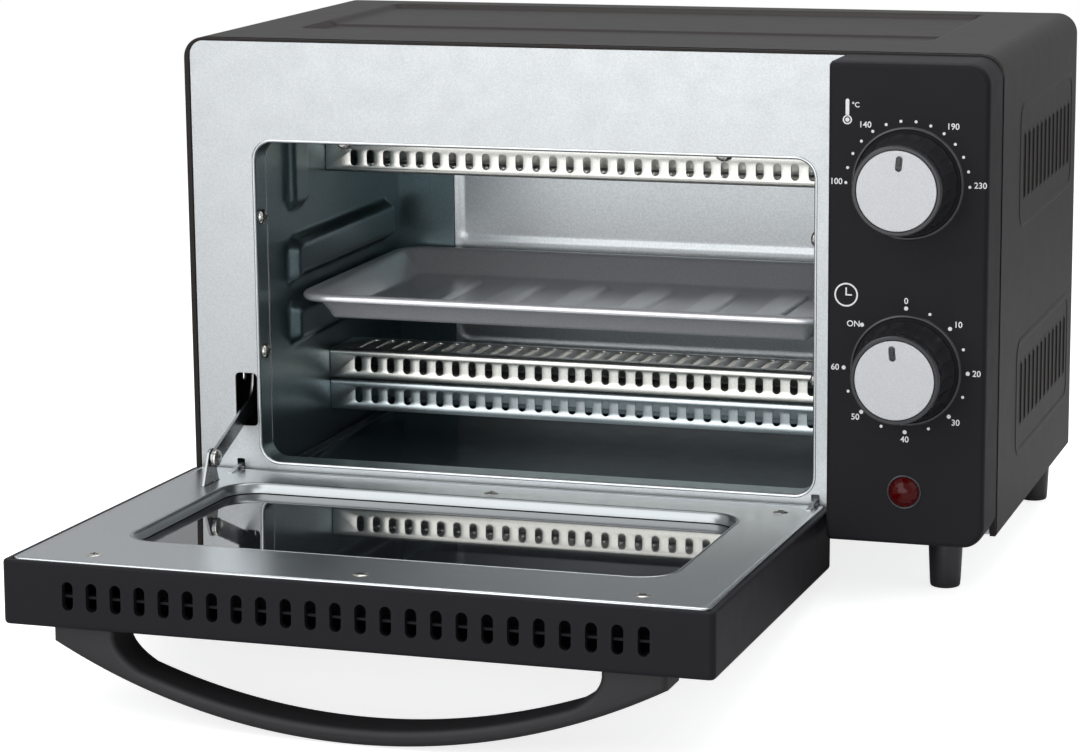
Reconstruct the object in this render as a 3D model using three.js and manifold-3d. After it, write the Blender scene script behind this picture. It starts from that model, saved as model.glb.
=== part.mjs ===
// A nine-litre countertop toaster oven with its drop-down door open.
// Units are millimetres. Body frame: X runs right from the left side of the shell, Y runs back
// from the front panel, and Z runs up from the underside of the body. The whole group is then
// shifted so that the origin lies at the middle of the bounding box's bottom.
import * as THREE from 'three';
import { mergeVertices } from 'three/addons/utils/BufferGeometryUtils.js';
import Module from 'manifold-3d';

const wasm = await Module();
wasm.setup();

// ---- Driving dimensions -------------------------------------------------------------------
const WIDTH = 360;
const DEPTH = 188;
const HEIGHT = 200;
const SHEET = 1;
const GAP = 0.3;
const SHELL_RADIUS = 9;
const SHELL_FRONT = -0.5;
const HEM = { side: 2.4, top: 1.2, back: 3.5 };
const RECESS = { x0: 36, x1: 318.5, y0: 48, step: 86, y1: 172, deep: 2.6, shallow: 1.8 };
const LOUVRE = { count: 12, first: 55, pitch: 10.2, width: 3.4, rows: [[37, 63], [134, 161]] };
const OPENING = { x0: 32, x1: 282, z0: 12.4, z1: 154.7, radius: 8, lip: 12, wall: 0.8 };
const CONTROL_WINDOW = { x0: 300, x1: 354, z0: 10, z1: 190 };
const ARM_SLOT = { x0: 20, x1: 30.2, z0: 28, z1: 51.8, radius: 2 };
const HINGE_SLOT = { z0: 1.5, z1: 13.6, clearance: 0.9 };
const WALL_INSIDE = OPENING.x0 - OPENING.wall - GAP;
const CAVITY_MIDDLE = (OPENING.x0 + OPENING.x1) / 2;
const CAVITY_BACK = 182.7;
const CAVITY_TOP = 172.7;
const RAIL = { y0: 36, y1: 166, height: 5.1, lower: [58, 78], upper: [88, 107] };
const RIB = { y0: 37, y1: 61, z0: 118, z1: 164, height: 3.5 };
const REAR_FLANGE = 10;
const GUARD = { front: 86, back: 118, sheet: 0.8, slots: 29, pitch: 8, slotWidth: 3.5, slotHeight: 7.4 };
const HEATER = { y: 102, upperZ: 143, lowerZ: 33.3, radius: 4 };
const BACK = { y: 183, sheet: 0.8, x0: 60.5, x1: 253.5, z0: 35.5, fold: 84, z1: 165 };
const BACK_STEP = { first: 2.5, second: 2.2 };
const GLAND = { x: 330, z: 30, hole: 8 };
const TRAY = { x0: 33, x1: 281, y0: 37, y1: 181, radius: 22, inset: 14 };
const TRAY_LEVEL = { rimTop: 81.5, floor: 68.6, sheet: 0.8 };
const TRAY_RIBS = { count: 6, pitch: 32, width: 16, y0: 62, y1: 154, height: 1.1 };
const CRUMB = { x0: 32, x1: 282, y0: 13.2, y1: 181, z: 1.4, sheet: 0.8, rim: 4.2, radius: 5 };
const CONTROL = { x0: 294.2, x1: 360, z0: 0.9, z1: 199.2, front: -28, back: -0.8, wall: 2.2, radius: 9 };
const KNOB_X = 327.1;
const THERMOSTAT_Z = 150.4;
const TIMER_Z = 73.9;
const KNOB = { base: 20.4, front: 18.2, cap: 16.1, length: 22, bore: 3.3 };
const KNOB_MARK = { z: 11, width: 2.4, length: 5.4, thermostat: 5, timer: -5 };
const LAMP = { z: 23.3, radius: 6.1 };
const FOOT = { height: 25, top: 7.5, bottom: 6.3 };
const FEET = {
  front_left: [22.7, 10],
  front_right: [337.3, 10],
  rear_left: [14, 176],
  rear_right: [346, 176],
};

// Door, drawn shut: y is 0 on its inner face and falls outwards, z is 0 on its bottom edge.
const DOOR = { width: 291, height: 189.2, thick: 26.6, wall: 2.4, rim: 3, radius: 2.5 };
const DOOR_ANGLE = 88.75;
const HINGE = { y: -2.5, z: 7.2, doorY: -1.6, doorZ: 0.4 };
const WINDOW = { x0: 31.2, x1: 259.8, z0: 26.8, z1: 144, radius: 15 };
const GLASS = { y0: -8.4, y1: -4.4, margin: 6 };
const VENT = { count: 24, first: 28.5, pitch: 10.226, width: 4.6, length: 11.4, y: -13.4 };
const TABS = [[20.8, 22.4], [282.6, 284.2]];
const DOOR_SCREWS = [[32.5, 172.5], [145.5, 172.5], [258.5, 172.5], [145.5, 16.5], [273, 16.5]];
const COUNTERSUNK = { head: 3, hole: 3.3, shank: 1.3, proud: 0.2 };
const HANDLE = { x0: 19.7, x1: 271.3, apex: 64.9, arc: 266, inner: 58.2, innerArc: 262, z0: 165, z1: 185 };
const HANDLE_POST = { width: 25.8, fillet: 9 };
const PIVOT = { y: 10.73, z: 31.2, hole: 1.9, pin: 1.6 };
const BRACKET = { x0: 21.2, x1: 22.4, z0: 24.5, z1: 41 };
const ARM = { x0: 22.7, x1: 24.1, width: 7.5, angle: 20.5, straight: 42, bend: 12, turn: 60, tail: 22 };
const SPRING = { radius: 3.4, anchorY: 150, anchorZ: 42, startX: 18.6, endX: 17 };

const STEEL = { galvanised: 0xc9ccce, liner: 0x5f6a6c, dark: 0x2c2b2a, bright: 0xd8d8d6 };
const PLASTIC = 0x232324;

// ---- Solids -------------------------------------------------------------------------------
function solid(geometry) {
  const plain = geometry.clone();
  plain.deleteAttribute('normal');
  plain.deleteAttribute('uv');
  const merged = mergeVertices(plain, 1e-4);
  const vertProperties = new Float32Array(merged.attributes.position.array);
  const triVerts = new Uint32Array(merged.index.array);
  return new wasm.Manifold(new wasm.Mesh({ numProp: 3, vertProperties, triVerts }));
}

function surface(manifold) {
  const mesh = manifold.getMesh();
  const geometry = new THREE.BufferGeometry();
  geometry.setAttribute('position', new THREE.BufferAttribute(mesh.vertProperties, 3));
  geometry.setIndex(new THREE.BufferAttribute(mesh.triVerts, 1));
  geometry.computeVertexNormals();
  return geometry;
}

function box(x0, x1, y0, y1, z0, z1) {
  const geometry = new THREE.BoxGeometry(x1 - x0, y1 - y0, z1 - z0);
  return solid(geometry.translate((x0 + x1) / 2, (y0 + y1) / 2, (z0 + z1) / 2));
}

function extrusion(shape, depth, curveSegments) {
  return new THREE.ExtrudeGeometry(shape, { depth, steps: 1, bevelEnabled: false, curveSegments });
}

// A shape drawn in x and z, running from y0 to y1.
function frontal(shape, y0, y1, segments = 5) {
  return solid(extrusion(shape, y1 - y0, segments).rotateX(Math.PI / 2).translate(0, y1, 0));
}

// A shape drawn in y and z, running from x0 to x1.
function sideways(shape, x0, x1, segments = 5) {
  const turned = extrusion(shape, x1 - x0, segments).rotateX(Math.PI / 2).rotateZ(Math.PI / 2);
  return solid(turned.translate(x0, 0, 0));
}

// A shape drawn in x and y, running from z0 to z1.
function upright(shape, z0, z1, segments = 5) {
  return solid(extrusion(shape, z1 - z0, segments).translate(0, 0, z0));
}

function cut(from, ...tools) {
  return tools.reduce((body, tool) => body.subtract(tool), from);
}

function join(...bodies) {
  return bodies.reduce((whole, body) => whole.add(body));
}

// A rectangle whose corners may each have a radius: [bottom left, bottom right, top right, top left].
function rectangle(x0, y0, x1, y1, radii = 0) {
  const [a, b, c, d] = Array.isArray(radii) ? radii : [radii, radii, radii, radii];
  const shape = new THREE.Shape();
  const corner = (x, y, r, start) => {
    if (r > 0) shape.absarc(x, y, r, start, start + Math.PI / 2, false);
    else shape.lineTo(x, y);
  };
  shape.moveTo(x0 + a, y0);
  corner(x1 - b, y0 + b, b, -Math.PI / 2);
  corner(x1 - c, y1 - c, c, 0);
  corner(x0 + d, y1 - d, d, Math.PI / 2);
  corner(x0 + a, y0 + a, a, Math.PI);
  return shape;
}

function polygon(points) {
  return new THREE.Shape(points.map(([x, y]) => new THREE.Vector2(x, y)));
}

function disc(x, y, radius) {
  return new THREE.Shape().absarc(x, y, radius, 0, Math.PI * 2, false);
}

// An oblong slot with round ends, its long way along the second axis.
function oblong(x, y, width, length) {
  const r = width / 2;
  return rectangle(x - r, y - length / 2, x + r, y + length / 2, r);
}

function row(count, first, pitch) {
  return Array.from({ length: count }, (_, i) => first + i * pitch);
}

// A closed skin through rings of equal point count, capped at the first and the last ring.
function loft(rings) {
  const n = rings[0].length;
  const points = rings.flat();
  const faces = [];
  for (let r = 0; r < rings.length - 1; r += 1) {
    for (let i = 0; i < n; i += 1) {
      const a = r * n + i;
      const b = r * n + ((i + 1) % n);
      faces.push(a, b, b + n, a, b + n, a + n);
    }
  }
  const top = (rings.length - 1) * n;
  for (let i = 1; i < n - 1; i += 1) {
    faces.push(0, i + 1, i);
    faces.push(top, top + i, top + i + 1);
  }
  const geometry = new THREE.BufferGeometry();
  geometry.setAttribute('position', new THREE.Float32BufferAttribute(points.flat(), 3));
  geometry.setIndex(faces);
  return solid(geometry);
}

// A horizontal ring of a rounded rectangle, drawn in from the given outline by an inset.
function ring(area, inset, z) {
  const radius = Math.max(area.radius - inset, 1);
  const shape = rectangle(area.x0 + inset, area.y0 + inset, area.x1 - inset, area.y1 - inset, radius);
  const points = shape.getPoints(3);
  if (points[0].distanceTo(points[points.length - 1]) < 1e-6) points.pop();
  return points.map((p) => [p.x, p.y, z]);
}

// A turned solid: profile points are [radius, distance along the axis].
function turned(profile, segments) {
  const points = profile.map(([r, h]) => new THREE.Vector2(r, h));
  return new THREE.LatheGeometry(points, segments);
}

function turnedAlongY(profile, x, z, segments = 16) {
  return solid(turned(profile, segments).translate(x, 0, z));
}

function turnedAlongX(profile, y, z, segments = 12) {
  return solid(turned(profile, segments).rotateZ(-Math.PI / 2).translate(0, y, z));
}

function turnedAlongZ(profile, x, y, segments = 16) {
  return solid(turned(profile, segments).rotateX(Math.PI / 2).translate(x, y, 0));
}

// ---- Scene graph --------------------------------------------------------------------------
const oven = new THREE.Group();
const body = new THREE.Group();
oven.add(body);

// Door coordinates (shut) are hung on the hinge axis and swung open.
const doorSwing = new THREE.Group();
doorSwing.position.set(0, HINGE.y, HINGE.z);
doorSwing.rotation.x = THREE.MathUtils.degToRad(DOOR_ANGLE);
const door = new THREE.Group();
door.position.set(0, -HINGE.doorY, -HINGE.doorZ);
doorSwing.add(door);
body.add(doorSwing);

function piece(group, name, shape, color, roughness, metalness) {
  const material = new THREE.MeshStandardMaterial({ color, roughness, metalness });
  const mesh = new THREE.Mesh(surface(shape), material);
  mesh.name = name;
  group.add(mesh);
  return mesh;
}

// ---- Outer body ---------------------------------------------------------------------------
function shellSection(side, top, radius) {
  return rectangle(side, -1, WIDTH - side, HEIGHT - top, [0, 0, radius, radius]);
}

function topPan() {
  const { x0, x1, y0, y1, step, deep, shallow } = RECESS;
  const level = (depth, t) => HEIGHT - depth - t;
  const outside = join(
    box(x0 - SHEET, x1 + SHEET, y0 - SHEET, step + SHEET, level(deep, SHEET), HEIGHT),
    box(x0 - SHEET, x1 + SHEET, step, y1 + SHEET, level(shallow, SHEET), HEIGHT),
  );
  const hollow = join(
    box(x0, x1, y0, step, level(deep, 0), HEIGHT + 1),
    box(x0, x1, step, y1, level(shallow, 0), HEIGHT + 1),
  );
  return { outside, hollow };
}

function louvres(x0, x1) {
  const slots = [];
  for (const [z0, z1] of LOUVRE.rows) {
    for (const y of row(LOUVRE.count, LOUVRE.first, LOUVRE.pitch)) {
      slots.push(box(x0, x1, y - LOUVRE.width / 2, y + LOUVRE.width / 2, z0, z1));
    }
  }
  return slots;
}

function outerShell() {
  const outline = rectangle(0, 0, WIDTH, HEIGHT, [0, 0, SHELL_RADIUS, SHELL_RADIUS]);
  const inner = shellSection(SHEET, SHEET, SHELL_RADIUS - SHEET);
  const hemInner = shellSection(HEM.side, HEM.top, SHELL_RADIUS - HEM.side);
  const skin = cut(frontal(outline, SHELL_FRONT, DEPTH), frontal(inner, -2, DEPTH + 1));
  const hem = cut(frontal(outline, SHELL_FRONT, HEM.back), frontal(hemInner, -2, HEM.back + 1));
  const { outside, hollow } = topPan();
  return cut(join(skin, hem, outside), hollow, ...louvres(-1, 2), ...louvres(WIDTH - 2, WIDTH + 1));
}

function basePlate() {
  const plate = box(1.3, WIDTH - 1.3, 3.8, DEPTH - 0.3, 0, SHEET);
  const left = box(1.3, 1.3 + SHEET, 4.5, CAVITY_BACK - 1, 0, 11);
  const right = box(WIDTH - 1.3 - SHEET, WIDTH - 1.3, 4.5, CAVITY_BACK - 1, 0, 11);
  const vents = row(5, 60, 18).map((y) => box(300, 345, y, y + 4, -1, 2));
  return cut(join(plate, left, right), ...vents);
}

function rearPanel() {
  const { y, sheet, x0, x1, z0, fold, z1 } = BACK;
  const { first, second } = BACK_STEP;
  const outline = rectangle(1.3, 1.3, WIDTH - 1.3, HEIGHT - 1.3, [0, 0, 7.5, 7.5]);
  const pressed = join(
    box(x0 - sheet, x1 + sheet, y, y + sheet + first, z0 - sheet, z1 + sheet),
    box(x0 - sheet, x1 + sheet, y, y + sheet + first + second, fold - sheet, z1 + sheet),
  );
  const hollow = join(
    box(x0, x1, y - 1, y + first, z0, z1),
    box(x0, x1, y - 1, y + first + second, fold, z1),
  );
  const vents = row(7, 112, 10).map((z) => box(302, 346, y - 1, y + 2, z, z + 3.4));
  const gland = frontal(disc(GLAND.x, GLAND.z, GLAND.hole), y - 1, y + 2, 16);
  return cut(join(frontal(outline, y, y + sheet), pressed), hollow, gland, ...vents);
}

function frontPanel() {
  const { x0, x1, z0, z1, radius, lip, wall } = OPENING;
  const outline = rectangle(2.7, 0.6, WIDTH - 2.7, HEIGHT - 1.5, [0, 0, 6.3, 6.3]);
  const face = frontal(outline, 0, SHEET);
  const collar = frontal(rectangle(x0 - wall, z0 - wall, x1 + wall, z1 + wall, radius + wall), 0, lip);
  const mouth = frontal(rectangle(x0, z0, x1, z1, radius), -1, lip + 1);
  const window = box(CONTROL_WINDOW.x0, CONTROL_WINDOW.x1, -1, 2, CONTROL_WINDOW.z0, CONTROL_WINDOW.z1);
  const armShape = rectangle(ARM_SLOT.x0, ARM_SLOT.z0, ARM_SLOT.x1, ARM_SLOT.z1, ARM_SLOT.radius);
  const hinges = TABS.map(([a, b]) => {
    const play = HINGE_SLOT.clearance;
    return box(a - play, b + play, -1, 2, HINGE_SLOT.z0, HINGE_SLOT.z1);
  });
  return cut(join(face, collar), mouth, window, frontal(armShape, -1, 2, 3), ...hinges);
}

function controlPanel() {
  const { x0, x1, z0, z1, front, back, wall, radius } = CONTROL;
  const outline = rectangle(x0, z0, x1, z1, [2, radius, radius, 2]);
  const inner = rectangle(x0 + wall, z0 + wall, x1 - wall, z1 - wall, [1, radius - wall, radius - wall, 1]);
  const holes = [[THERMOSTAT_Z, 4.5], [TIMER_Z, 4.5], [LAMP.z, 6]].map(
    ([z, r]) => frontal(disc(KNOB_X, z, r), front - 1, front + wall + 1, 12),
  );
  return cut(frontal(outline, front, back), frontal(inner, front + wall, back + 1), ...holes);
}

function foot() {
  const { height, top, bottom } = FOOT;
  return [[0, -height], [bottom - 0.6, -height], [bottom, -height + 0.6], [top, -GAP], [0, -GAP]];
}

function buildBody() {
  piece(body, 'outer_shell', outerShell(), STEEL.dark, 0.45, 0.4);
  piece(body, 'base_plate', basePlate(), STEEL.galvanised, 0.4, 0.9);
  piece(body, 'rear_panel', rearPanel(), STEEL.galvanised, 0.4, 0.9);
  piece(body, 'front_panel', frontPanel(), STEEL.galvanised, 0.35, 0.9);
  piece(body, 'control_panel', controlPanel(), PLASTIC, 0.6, 0);
  for (const [corner, [x, y]] of Object.entries(FEET)) {
    piece(body, `foot_${corner}`, turnedAlongZ(foot(), x, y), PLASTIC, 0.7, 0);
  }
}

// ---- Cavity -------------------------------------------------------------------------------
// A pressing on the left wall: a flat-topped ridge towards the inside, hollow behind.
function ridge(y0, y1, z0, z1, height) {
  const x = WALL_INSIDE;
  const slope = height * 0.7;
  const layer = (inset, at) => [
    [at, y0 + inset, z0 + inset],
    [at, y1 - inset, z0 + inset],
    [at, y1 - inset, z1 - inset],
    [at, y0 + inset, z1 - inset],
  ];
  const outside = loft([layer(0, x - SHEET / 2), layer(0, x), layer(slope, x + height)]);
  const floor = layer(slope + SHEET / 2, x + height - SHEET);
  const hollow = loft([layer(SHEET, x - SHEET - 1), layer(SHEET, x - SHEET), floor]);
  return { outside, hollow };
}

function leftWall() {
  const x = WALL_INSIDE;
  const ridges = [
    ridge(RAIL.y0, RAIL.y1, RAIL.lower[0], RAIL.lower[1], RAIL.height),
    ridge(RAIL.y0, RAIL.y1, RAIL.upper[0], RAIL.upper[1], RAIL.height),
    ridge(RIB.y0, RIB.y1, RIB.z0, RIB.z1, RIB.height),
  ];
  const sheet = box(x - SHEET, x, SHEET + GAP, CAVITY_BACK, SHEET + GAP, CAVITY_TOP);
  const flange = box(x - SHEET, x + REAR_FLANGE, CAVITY_BACK - SHEET, CAVITY_BACK, SHEET + GAP, CAVITY_TOP);
  const holes = [HEATER.upperZ, HEATER.lowerZ].map(
    (z) => sideways(disc(HEATER.y, z, 5.3), x - SHEET - 1, x + 1, 12),
  );
  const whole = join(sheet, flange, ...ridges.map((r) => r.outside));
  const notch = box(x - 2, x + 2, 0, HINGE_SLOT.clearance + 7, 0, HINGE_SLOT.z1 + 3);
  return cut(whole, notch, ...ridges.map((r) => r.hollow), ...holes);
}

// The same shape on the other side of the cavity's middle plane.
function mirrored(shape) {
  const geometry = surface(shape).scale(-1, 1, 1).translate(2 * CAVITY_MIDDLE, 0, 0);
  const corners = geometry.getIndex().array;
  for (let i = 0; i < corners.length; i += 3) {
    const first = corners[i];
    corners[i] = corners[i + 1];
    corners[i + 1] = first;
  }
  return solid(geometry);
}

function ceiling() {
  const left = WALL_INSIDE - SHEET;
  const right = 2 * CAVITY_MIDDLE - left;
  const low = OPENING.z1 + OPENING.wall + GAP;
  const top = CAVITY_TOP + GAP;
  const front = OPENING.lip + 1;
  return join(
    box(left, right, SHEET + GAP, CAVITY_BACK, top, top + SHEET),
    box(left + SHEET + GAP, right - SHEET - GAP, front, front + SHEET, low, top + SHEET / 2),
    box(OPENING.x0 + 6, OPENING.x1 - 6, SHEET + GAP, front + SHEET, low, low + SHEET),
  );
}

function guardSlots() {
  const span = (GUARD.slots - 1) * GUARD.pitch;
  return row(GUARD.slots, CAVITY_MIDDLE - span / 2, GUARD.pitch);
}

// A U channel across the cavity: web is the z of its slotted flat side, edge that of its free edges.
function guard(web, edge, slotted) {
  const { front, back, sheet, slotWidth, slotHeight } = GUARD;
  const x0 = WALL_INSIDE + GAP;
  const x1 = 2 * CAVITY_MIDDLE - x0;
  const low = Math.min(web, edge);
  const high = Math.max(web, edge);
  const inner = web > edge ? [low - 1, high - sheet] : [low + sheet, high + 1];
  const channel = cut(
    box(x0, x1, front, back, low, high),
    box(x0 - 1, x1 + 1, front + sheet, back - sheet, inner[0], inner[1]),
  );
  const middle = (low + high) / 2;
  const half = slotWidth / 2;
  const rise = slotHeight / 2;
  const flangeSlots = guardSlots().map(
    (x) => box(x - half, x + half, front - 1, front + 2, middle - rise, middle + rise),
  );
  const webSlots = guardSlots().map(
    (x) => box(x - half, x + half, front + 5, back - 5, web - 2, web + 2),
  );
  return cut(channel, ...flangeSlots, ...(slotted ? webSlots : []));
}

function heaterRod(z) {
  const end = WALL_INSIDE - 8;
  const length = 2 * (CAVITY_MIDDLE - end);
  const r = HEATER.radius;
  const profile = [
    [0, end - 6],
    [1.5, end - 6],
    [1.5, end],
    [r, end],
    [r, end + length],
    [1.5, end + length],
    [1.5, end + length + 6],
    [0, end + length + 6],
  ];
  return turnedAlongX(profile, HEATER.y, z);
}

function insulator(z) {
  const x = WALL_INSIDE;
  const bore = HEATER.radius + GAP;
  const profile = [
    [bore, x - 6],
    [7.2, x - 6],
    [7.2, x - SHEET - GAP],
    [5, x - SHEET - GAP],
    [5, x + 3],
    [bore, x + 3],
    [bore, x - 6],
  ];
  return turnedAlongX(profile, HEATER.y, z);
}

function bakingTray() {
  const { inset } = TRAY;
  const { rimTop, floor, sheet } = TRAY_LEVEL;
  const rings = [
    ring(TRAY, inset, floor),
    ring(TRAY, inset - 1.2, floor + 1.6),
    ring(TRAY, 6.6, rimTop - 1.4),
    ring(TRAY, 2.2, rimTop - 1.4),
    ring(TRAY, 1.6, rimTop - 3),
    ring(TRAY, 0, rimTop - 2.6),
    ring(TRAY, 0, rimTop - 0.8),
    ring(TRAY, 0.8, rimTop),
    ring(TRAY, 5.8, rimTop - 0.4),
    ring(TRAY, inset - 0.4, floor + 2),
    ring(TRAY, inset + 1, floor + sheet),
  ];
  const start = CAVITY_MIDDLE - ((TRAY_RIBS.count - 1) * TRAY_RIBS.pitch) / 2;
  const ribs = row(TRAY_RIBS.count, start, TRAY_RIBS.pitch).map((x) => {
    const { width, y0, y1, height } = TRAY_RIBS;
    const shape = oblong(x, (y0 + y1) / 2, width, y1 - y0);
    return upright(shape, floor + sheet / 2, floor + sheet + height, 3);
  });
  return join(loft(rings), ...ribs);
}

function crumbTray() {
  const { z, sheet, rim } = CRUMB;
  return loft([
    ring(CRUMB, 0.6, z),
    ring(CRUMB, 0, z + 0.6),
    ring(CRUMB, 0, z + rim),
    ring(CRUMB, sheet, z + rim),
    ring(CRUMB, sheet, z + sheet + 0.6),
    ring(CRUMB, sheet + 0.6, z + sheet),
  ]);
}

// A pan-head screw whose head stands on a surface and whose shank passes through it.
function screwProfile(head, shank) {
  return [[0, -shank], [1.3, -shank], [1.3, 0.2], [head, 0.2], [head * 0.8, 1.4], [0, 1.8]];
}

function liningScrews() {
  const y = OPENING.lip / 2;
  const inwards = (x, turn) => (z) => {
    const geometry = turned(screwProfile(2.7, 0.1), 8).rotateZ(turn).translate(x, y, z);
    return solid(geometry);
  };
  const leftSide = inwards(OPENING.x0 + 0.2, -Math.PI / 2);
  const rightSide = inwards(OPENING.x1 - 0.2, Math.PI / 2);
  const hanging = (x) => {
    const geometry = turned(screwProfile(2.7, 0.1), 8).rotateX(-Math.PI / 2);
    return solid(geometry.translate(x, y, OPENING.z1 - 0.2));
  };
  return {
    screw_left_upper: leftSide(121),
    screw_left_lower: leftSide(61),
    screw_right_upper: rightSide(121),
    screw_right_lower: rightSide(61),
    screw_top_left: hanging(72),
    screw_top_right: hanging(242),
  };
}

function buildCavity() {
  const wall = leftWall();
  piece(body, 'cavity_left_wall', wall, STEEL.liner, 0.4, 0.8);
  piece(body, 'cavity_right_wall', mirrored(wall), STEEL.liner, 0.4, 0.8);
  piece(body, 'cavity_ceiling', ceiling(), STEEL.liner, 0.4, 0.8);
  piece(body, 'upper_guard', guard(130.4, 144, true), STEEL.bright, 0.35, 0.9);
  piece(body, 'lower_guard_cover', guard(47.2, 33.8, true), STEEL.bright, 0.35, 0.9);
  piece(body, 'lower_guard_base', guard(18.9, 32.9, false), STEEL.bright, 0.35, 0.9);
  for (const [level, z] of [['upper', HEATER.upperZ], ['lower', HEATER.lowerZ]]) {
    piece(body, `${level}_heater_rod`, heaterRod(z), 0x6b6660, 0.5, 0.6);
    piece(body, `${level}_insulator_left`, insulator(z), 0xe9e4d8, 0.7, 0);
    piece(body, `${level}_insulator_right`, mirrored(insulator(z)), 0xe9e4d8, 0.7, 0);
  }
  piece(body, 'baking_tray', bakingTray(), 0x76777b, 0.45, 0.6);
  piece(body, 'crumb_tray', crumbTray(), 0x3a4244, 0.35, 0.7);
  for (const [name, shape] of Object.entries(liningScrews())) {
    piece(body, name, shape, 0xb9ac94, 0.3, 0.9);
  }
}

// ---- Controls -----------------------------------------------------------------------------
function knob(z) {
  const { base, front, cap, length, bore } = KNOB;
  const face = CONTROL.front - length;
  const foot_ = CONTROL.front - 0.5;
  const profile = [
    [bore, face + 3.4],
    [cap - 2, face + 3.4],
    [cap - 2, face + 1.4],
    [cap + GAP, face + 1.4],
    [cap + GAP, face],
    [front, face],
    [front + 0.4, face + 1],
    [front + 0.8, foot_ - 7],
    [base, foot_ - 1.5],
    [base, foot_],
    [base - 2, foot_],
    [front - 2, foot_ - 8],
    [bore + 3, foot_ - 8],
    [bore + 3, foot_],
    [bore, foot_],
    [bore, face + 3.4],
  ];
  return turnedAlongY(profile, KNOB_X, z, 20);
}

// The cap's pressed mark stands a few degrees off the top, clockwise when positive.
function knobCap(z, turn) {
  const face = CONTROL.front - KNOB.length;
  const outline = [[0, face], [KNOB.cap, face], [KNOB.cap, face + 1.1], [0, face + 1.1]];
  const mark = extrusion(oblong(0, KNOB_MARK.z, KNOB_MARK.width, KNOB_MARK.length), 1.6, 3);
  mark.rotateX(Math.PI / 2).rotateY(THREE.MathUtils.degToRad(turn)).translate(KNOB_X, face + 0.6, z);
  return cut(turnedAlongY(outline, KNOB_X, z, 20), solid(mark));
}

function shaft(z, end) {
  const start = CONTROL.front - KNOB.length + 3.8;
  return turnedAlongY([[0, start], [3, start], [3, end], [0, end]], KNOB_X, z, 12);
}

// A switch body: a block behind the panel with a round boss and a blind bore for its shaft.
function switchBody(z, half, depth) {
  const front = CONTROL.front + CONTROL.wall + GAP;
  const block = box(KNOB_X - half, KNOB_X + half, front + 3, front + depth, z - half, z + half);
  const boss = turnedAlongY([[0, front], [8, front], [8, front + 4], [0, front + 4]], KNOB_X, z);
  const hole = [[0, front - 1], [3.3, front - 1], [3.3, front + 12], [0, front + 12]];
  const bore = turnedAlongY(hole, KNOB_X, z, 12);
  return cut(join(block, boss), bore);
}

function lampLens() {
  const front = CONTROL.front;
  const r = LAMP.radius;
  const profile = [[0, front - 3.6], [2.6, front - 3.2], [4.8, front - 1.8], [r, front - GAP]];
  profile.push([5.6, front - GAP], [5.6, front + 4], [0, front + 4]);
  return turnedAlongY(profile, KNOB_X, LAMP.z);
}

function lampHolder() {
  const start = CONTROL.front + 4 + GAP;
  return turnedAlongY([[0, start], [7, start], [7, start + 14], [0, start + 14]], KNOB_X, LAMP.z);
}

function cordGland() {
  const face = BACK.y + BACK.sheet + GAP;
  const profile = [
    [3.6, 176],
    [7.5, 176],
    [7.5, face],
    [11, face],
    [10, face + 3],
    [5.6, face + 3.6],
    [3.6, face + 3.6],
    [3.6, 176],
  ];
  return turnedAlongY(profile, GLAND.x, GLAND.z);
}

function buildControls() {
  const bodyDepth = { thermostat: [15, 32], timer: [23, 38] };
  for (const [name, z] of [['thermostat', THERMOSTAT_Z], ['timer', TIMER_Z]]) {
    const [half, depth] = bodyDepth[name];
    piece(body, `${name}_body`, switchBody(z, half, depth), 0xb7a98f, 0.6, 0.1);
    piece(body, `${name}_shaft`, shaft(z, CONTROL.front + CONTROL.wall + 10), STEEL.bright, 0.4, 0.9);
    piece(body, `${name}_knob`, knob(z), 0x17171a, 0.35, 0);
    piece(body, `${name}_knob_cap`, knobCap(z, KNOB_MARK[name]), 0xc4c6c8, 0.4, 0.8);
  }
  piece(body, 'lamp_lens', lampLens(), 0x4a0c10, 0.15, 0);
  piece(body, 'lamp_holder', lampHolder(), 0xe4e0d4, 0.6, 0);
  piece(body, 'cord_gland', cordGland(), PLASTIC, 0.6, 0);
}

// ---- Door (drawn shut, in door coordinates) -----------------------------------------------
function windowOutline(grow) {
  const { x0, x1, z0, z1, radius } = WINDOW;
  return rectangle(x0 - grow, z0 - grow, x1 + grow, z1 + grow, radius + grow);
}

function doorFrame() {
  const { width, height, thick, wall, rim, radius } = DOOR;
  const outside = frontal(rectangle(0, 0, width, height, radius), -thick, -0.4);
  const pocket = box(rim, width - rim, -thick + wall, 1, rim, height - rim);
  const mouth = box(rim, width - rim, -1.4, 1, -1, rim + 1);
  const seat = cut(
    frontal(windowOutline(5), -thick + wall / 2, GLASS.y0 - GAP),
    frontal(windowOutline(2), -thick - 1, 0),
  );
  const vents = row(VENT.count, VENT.first, VENT.pitch).map((x) => {
    const half = VENT.width / 2;
    const reach = VENT.length / 2;
    return box(x - half, x + half, VENT.y - reach, VENT.y + reach, height - rim - 1, height + 1);
  });
  const bare = cut(outside, pocket, mouth, frontal(windowOutline(2), -thick - 1, 0));
  return cut(join(bare, seat), ...vents);
}

// The side outline of a hinge hook: it rises from the plate and hooks down behind the front panel.
function hookOutline() {
  const path = [[-6.8, 0.8], [-6.4, 1.8], [-4.2, 4.4], [3.2, 4.5], [4.9, 2.6], [5, 0.4], [3.7, 0.4]];
  path.push([3.7, 2.1], [2.8, 2.9], [-3.4, 2.9], [-4.4, 1.6], [-4.4, 0.8]);
  const toDoor = ([forward, up]) => [HINGE.doorY + up, HINGE.doorZ - forward];
  return polygon(path.map(toDoor));
}

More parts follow.
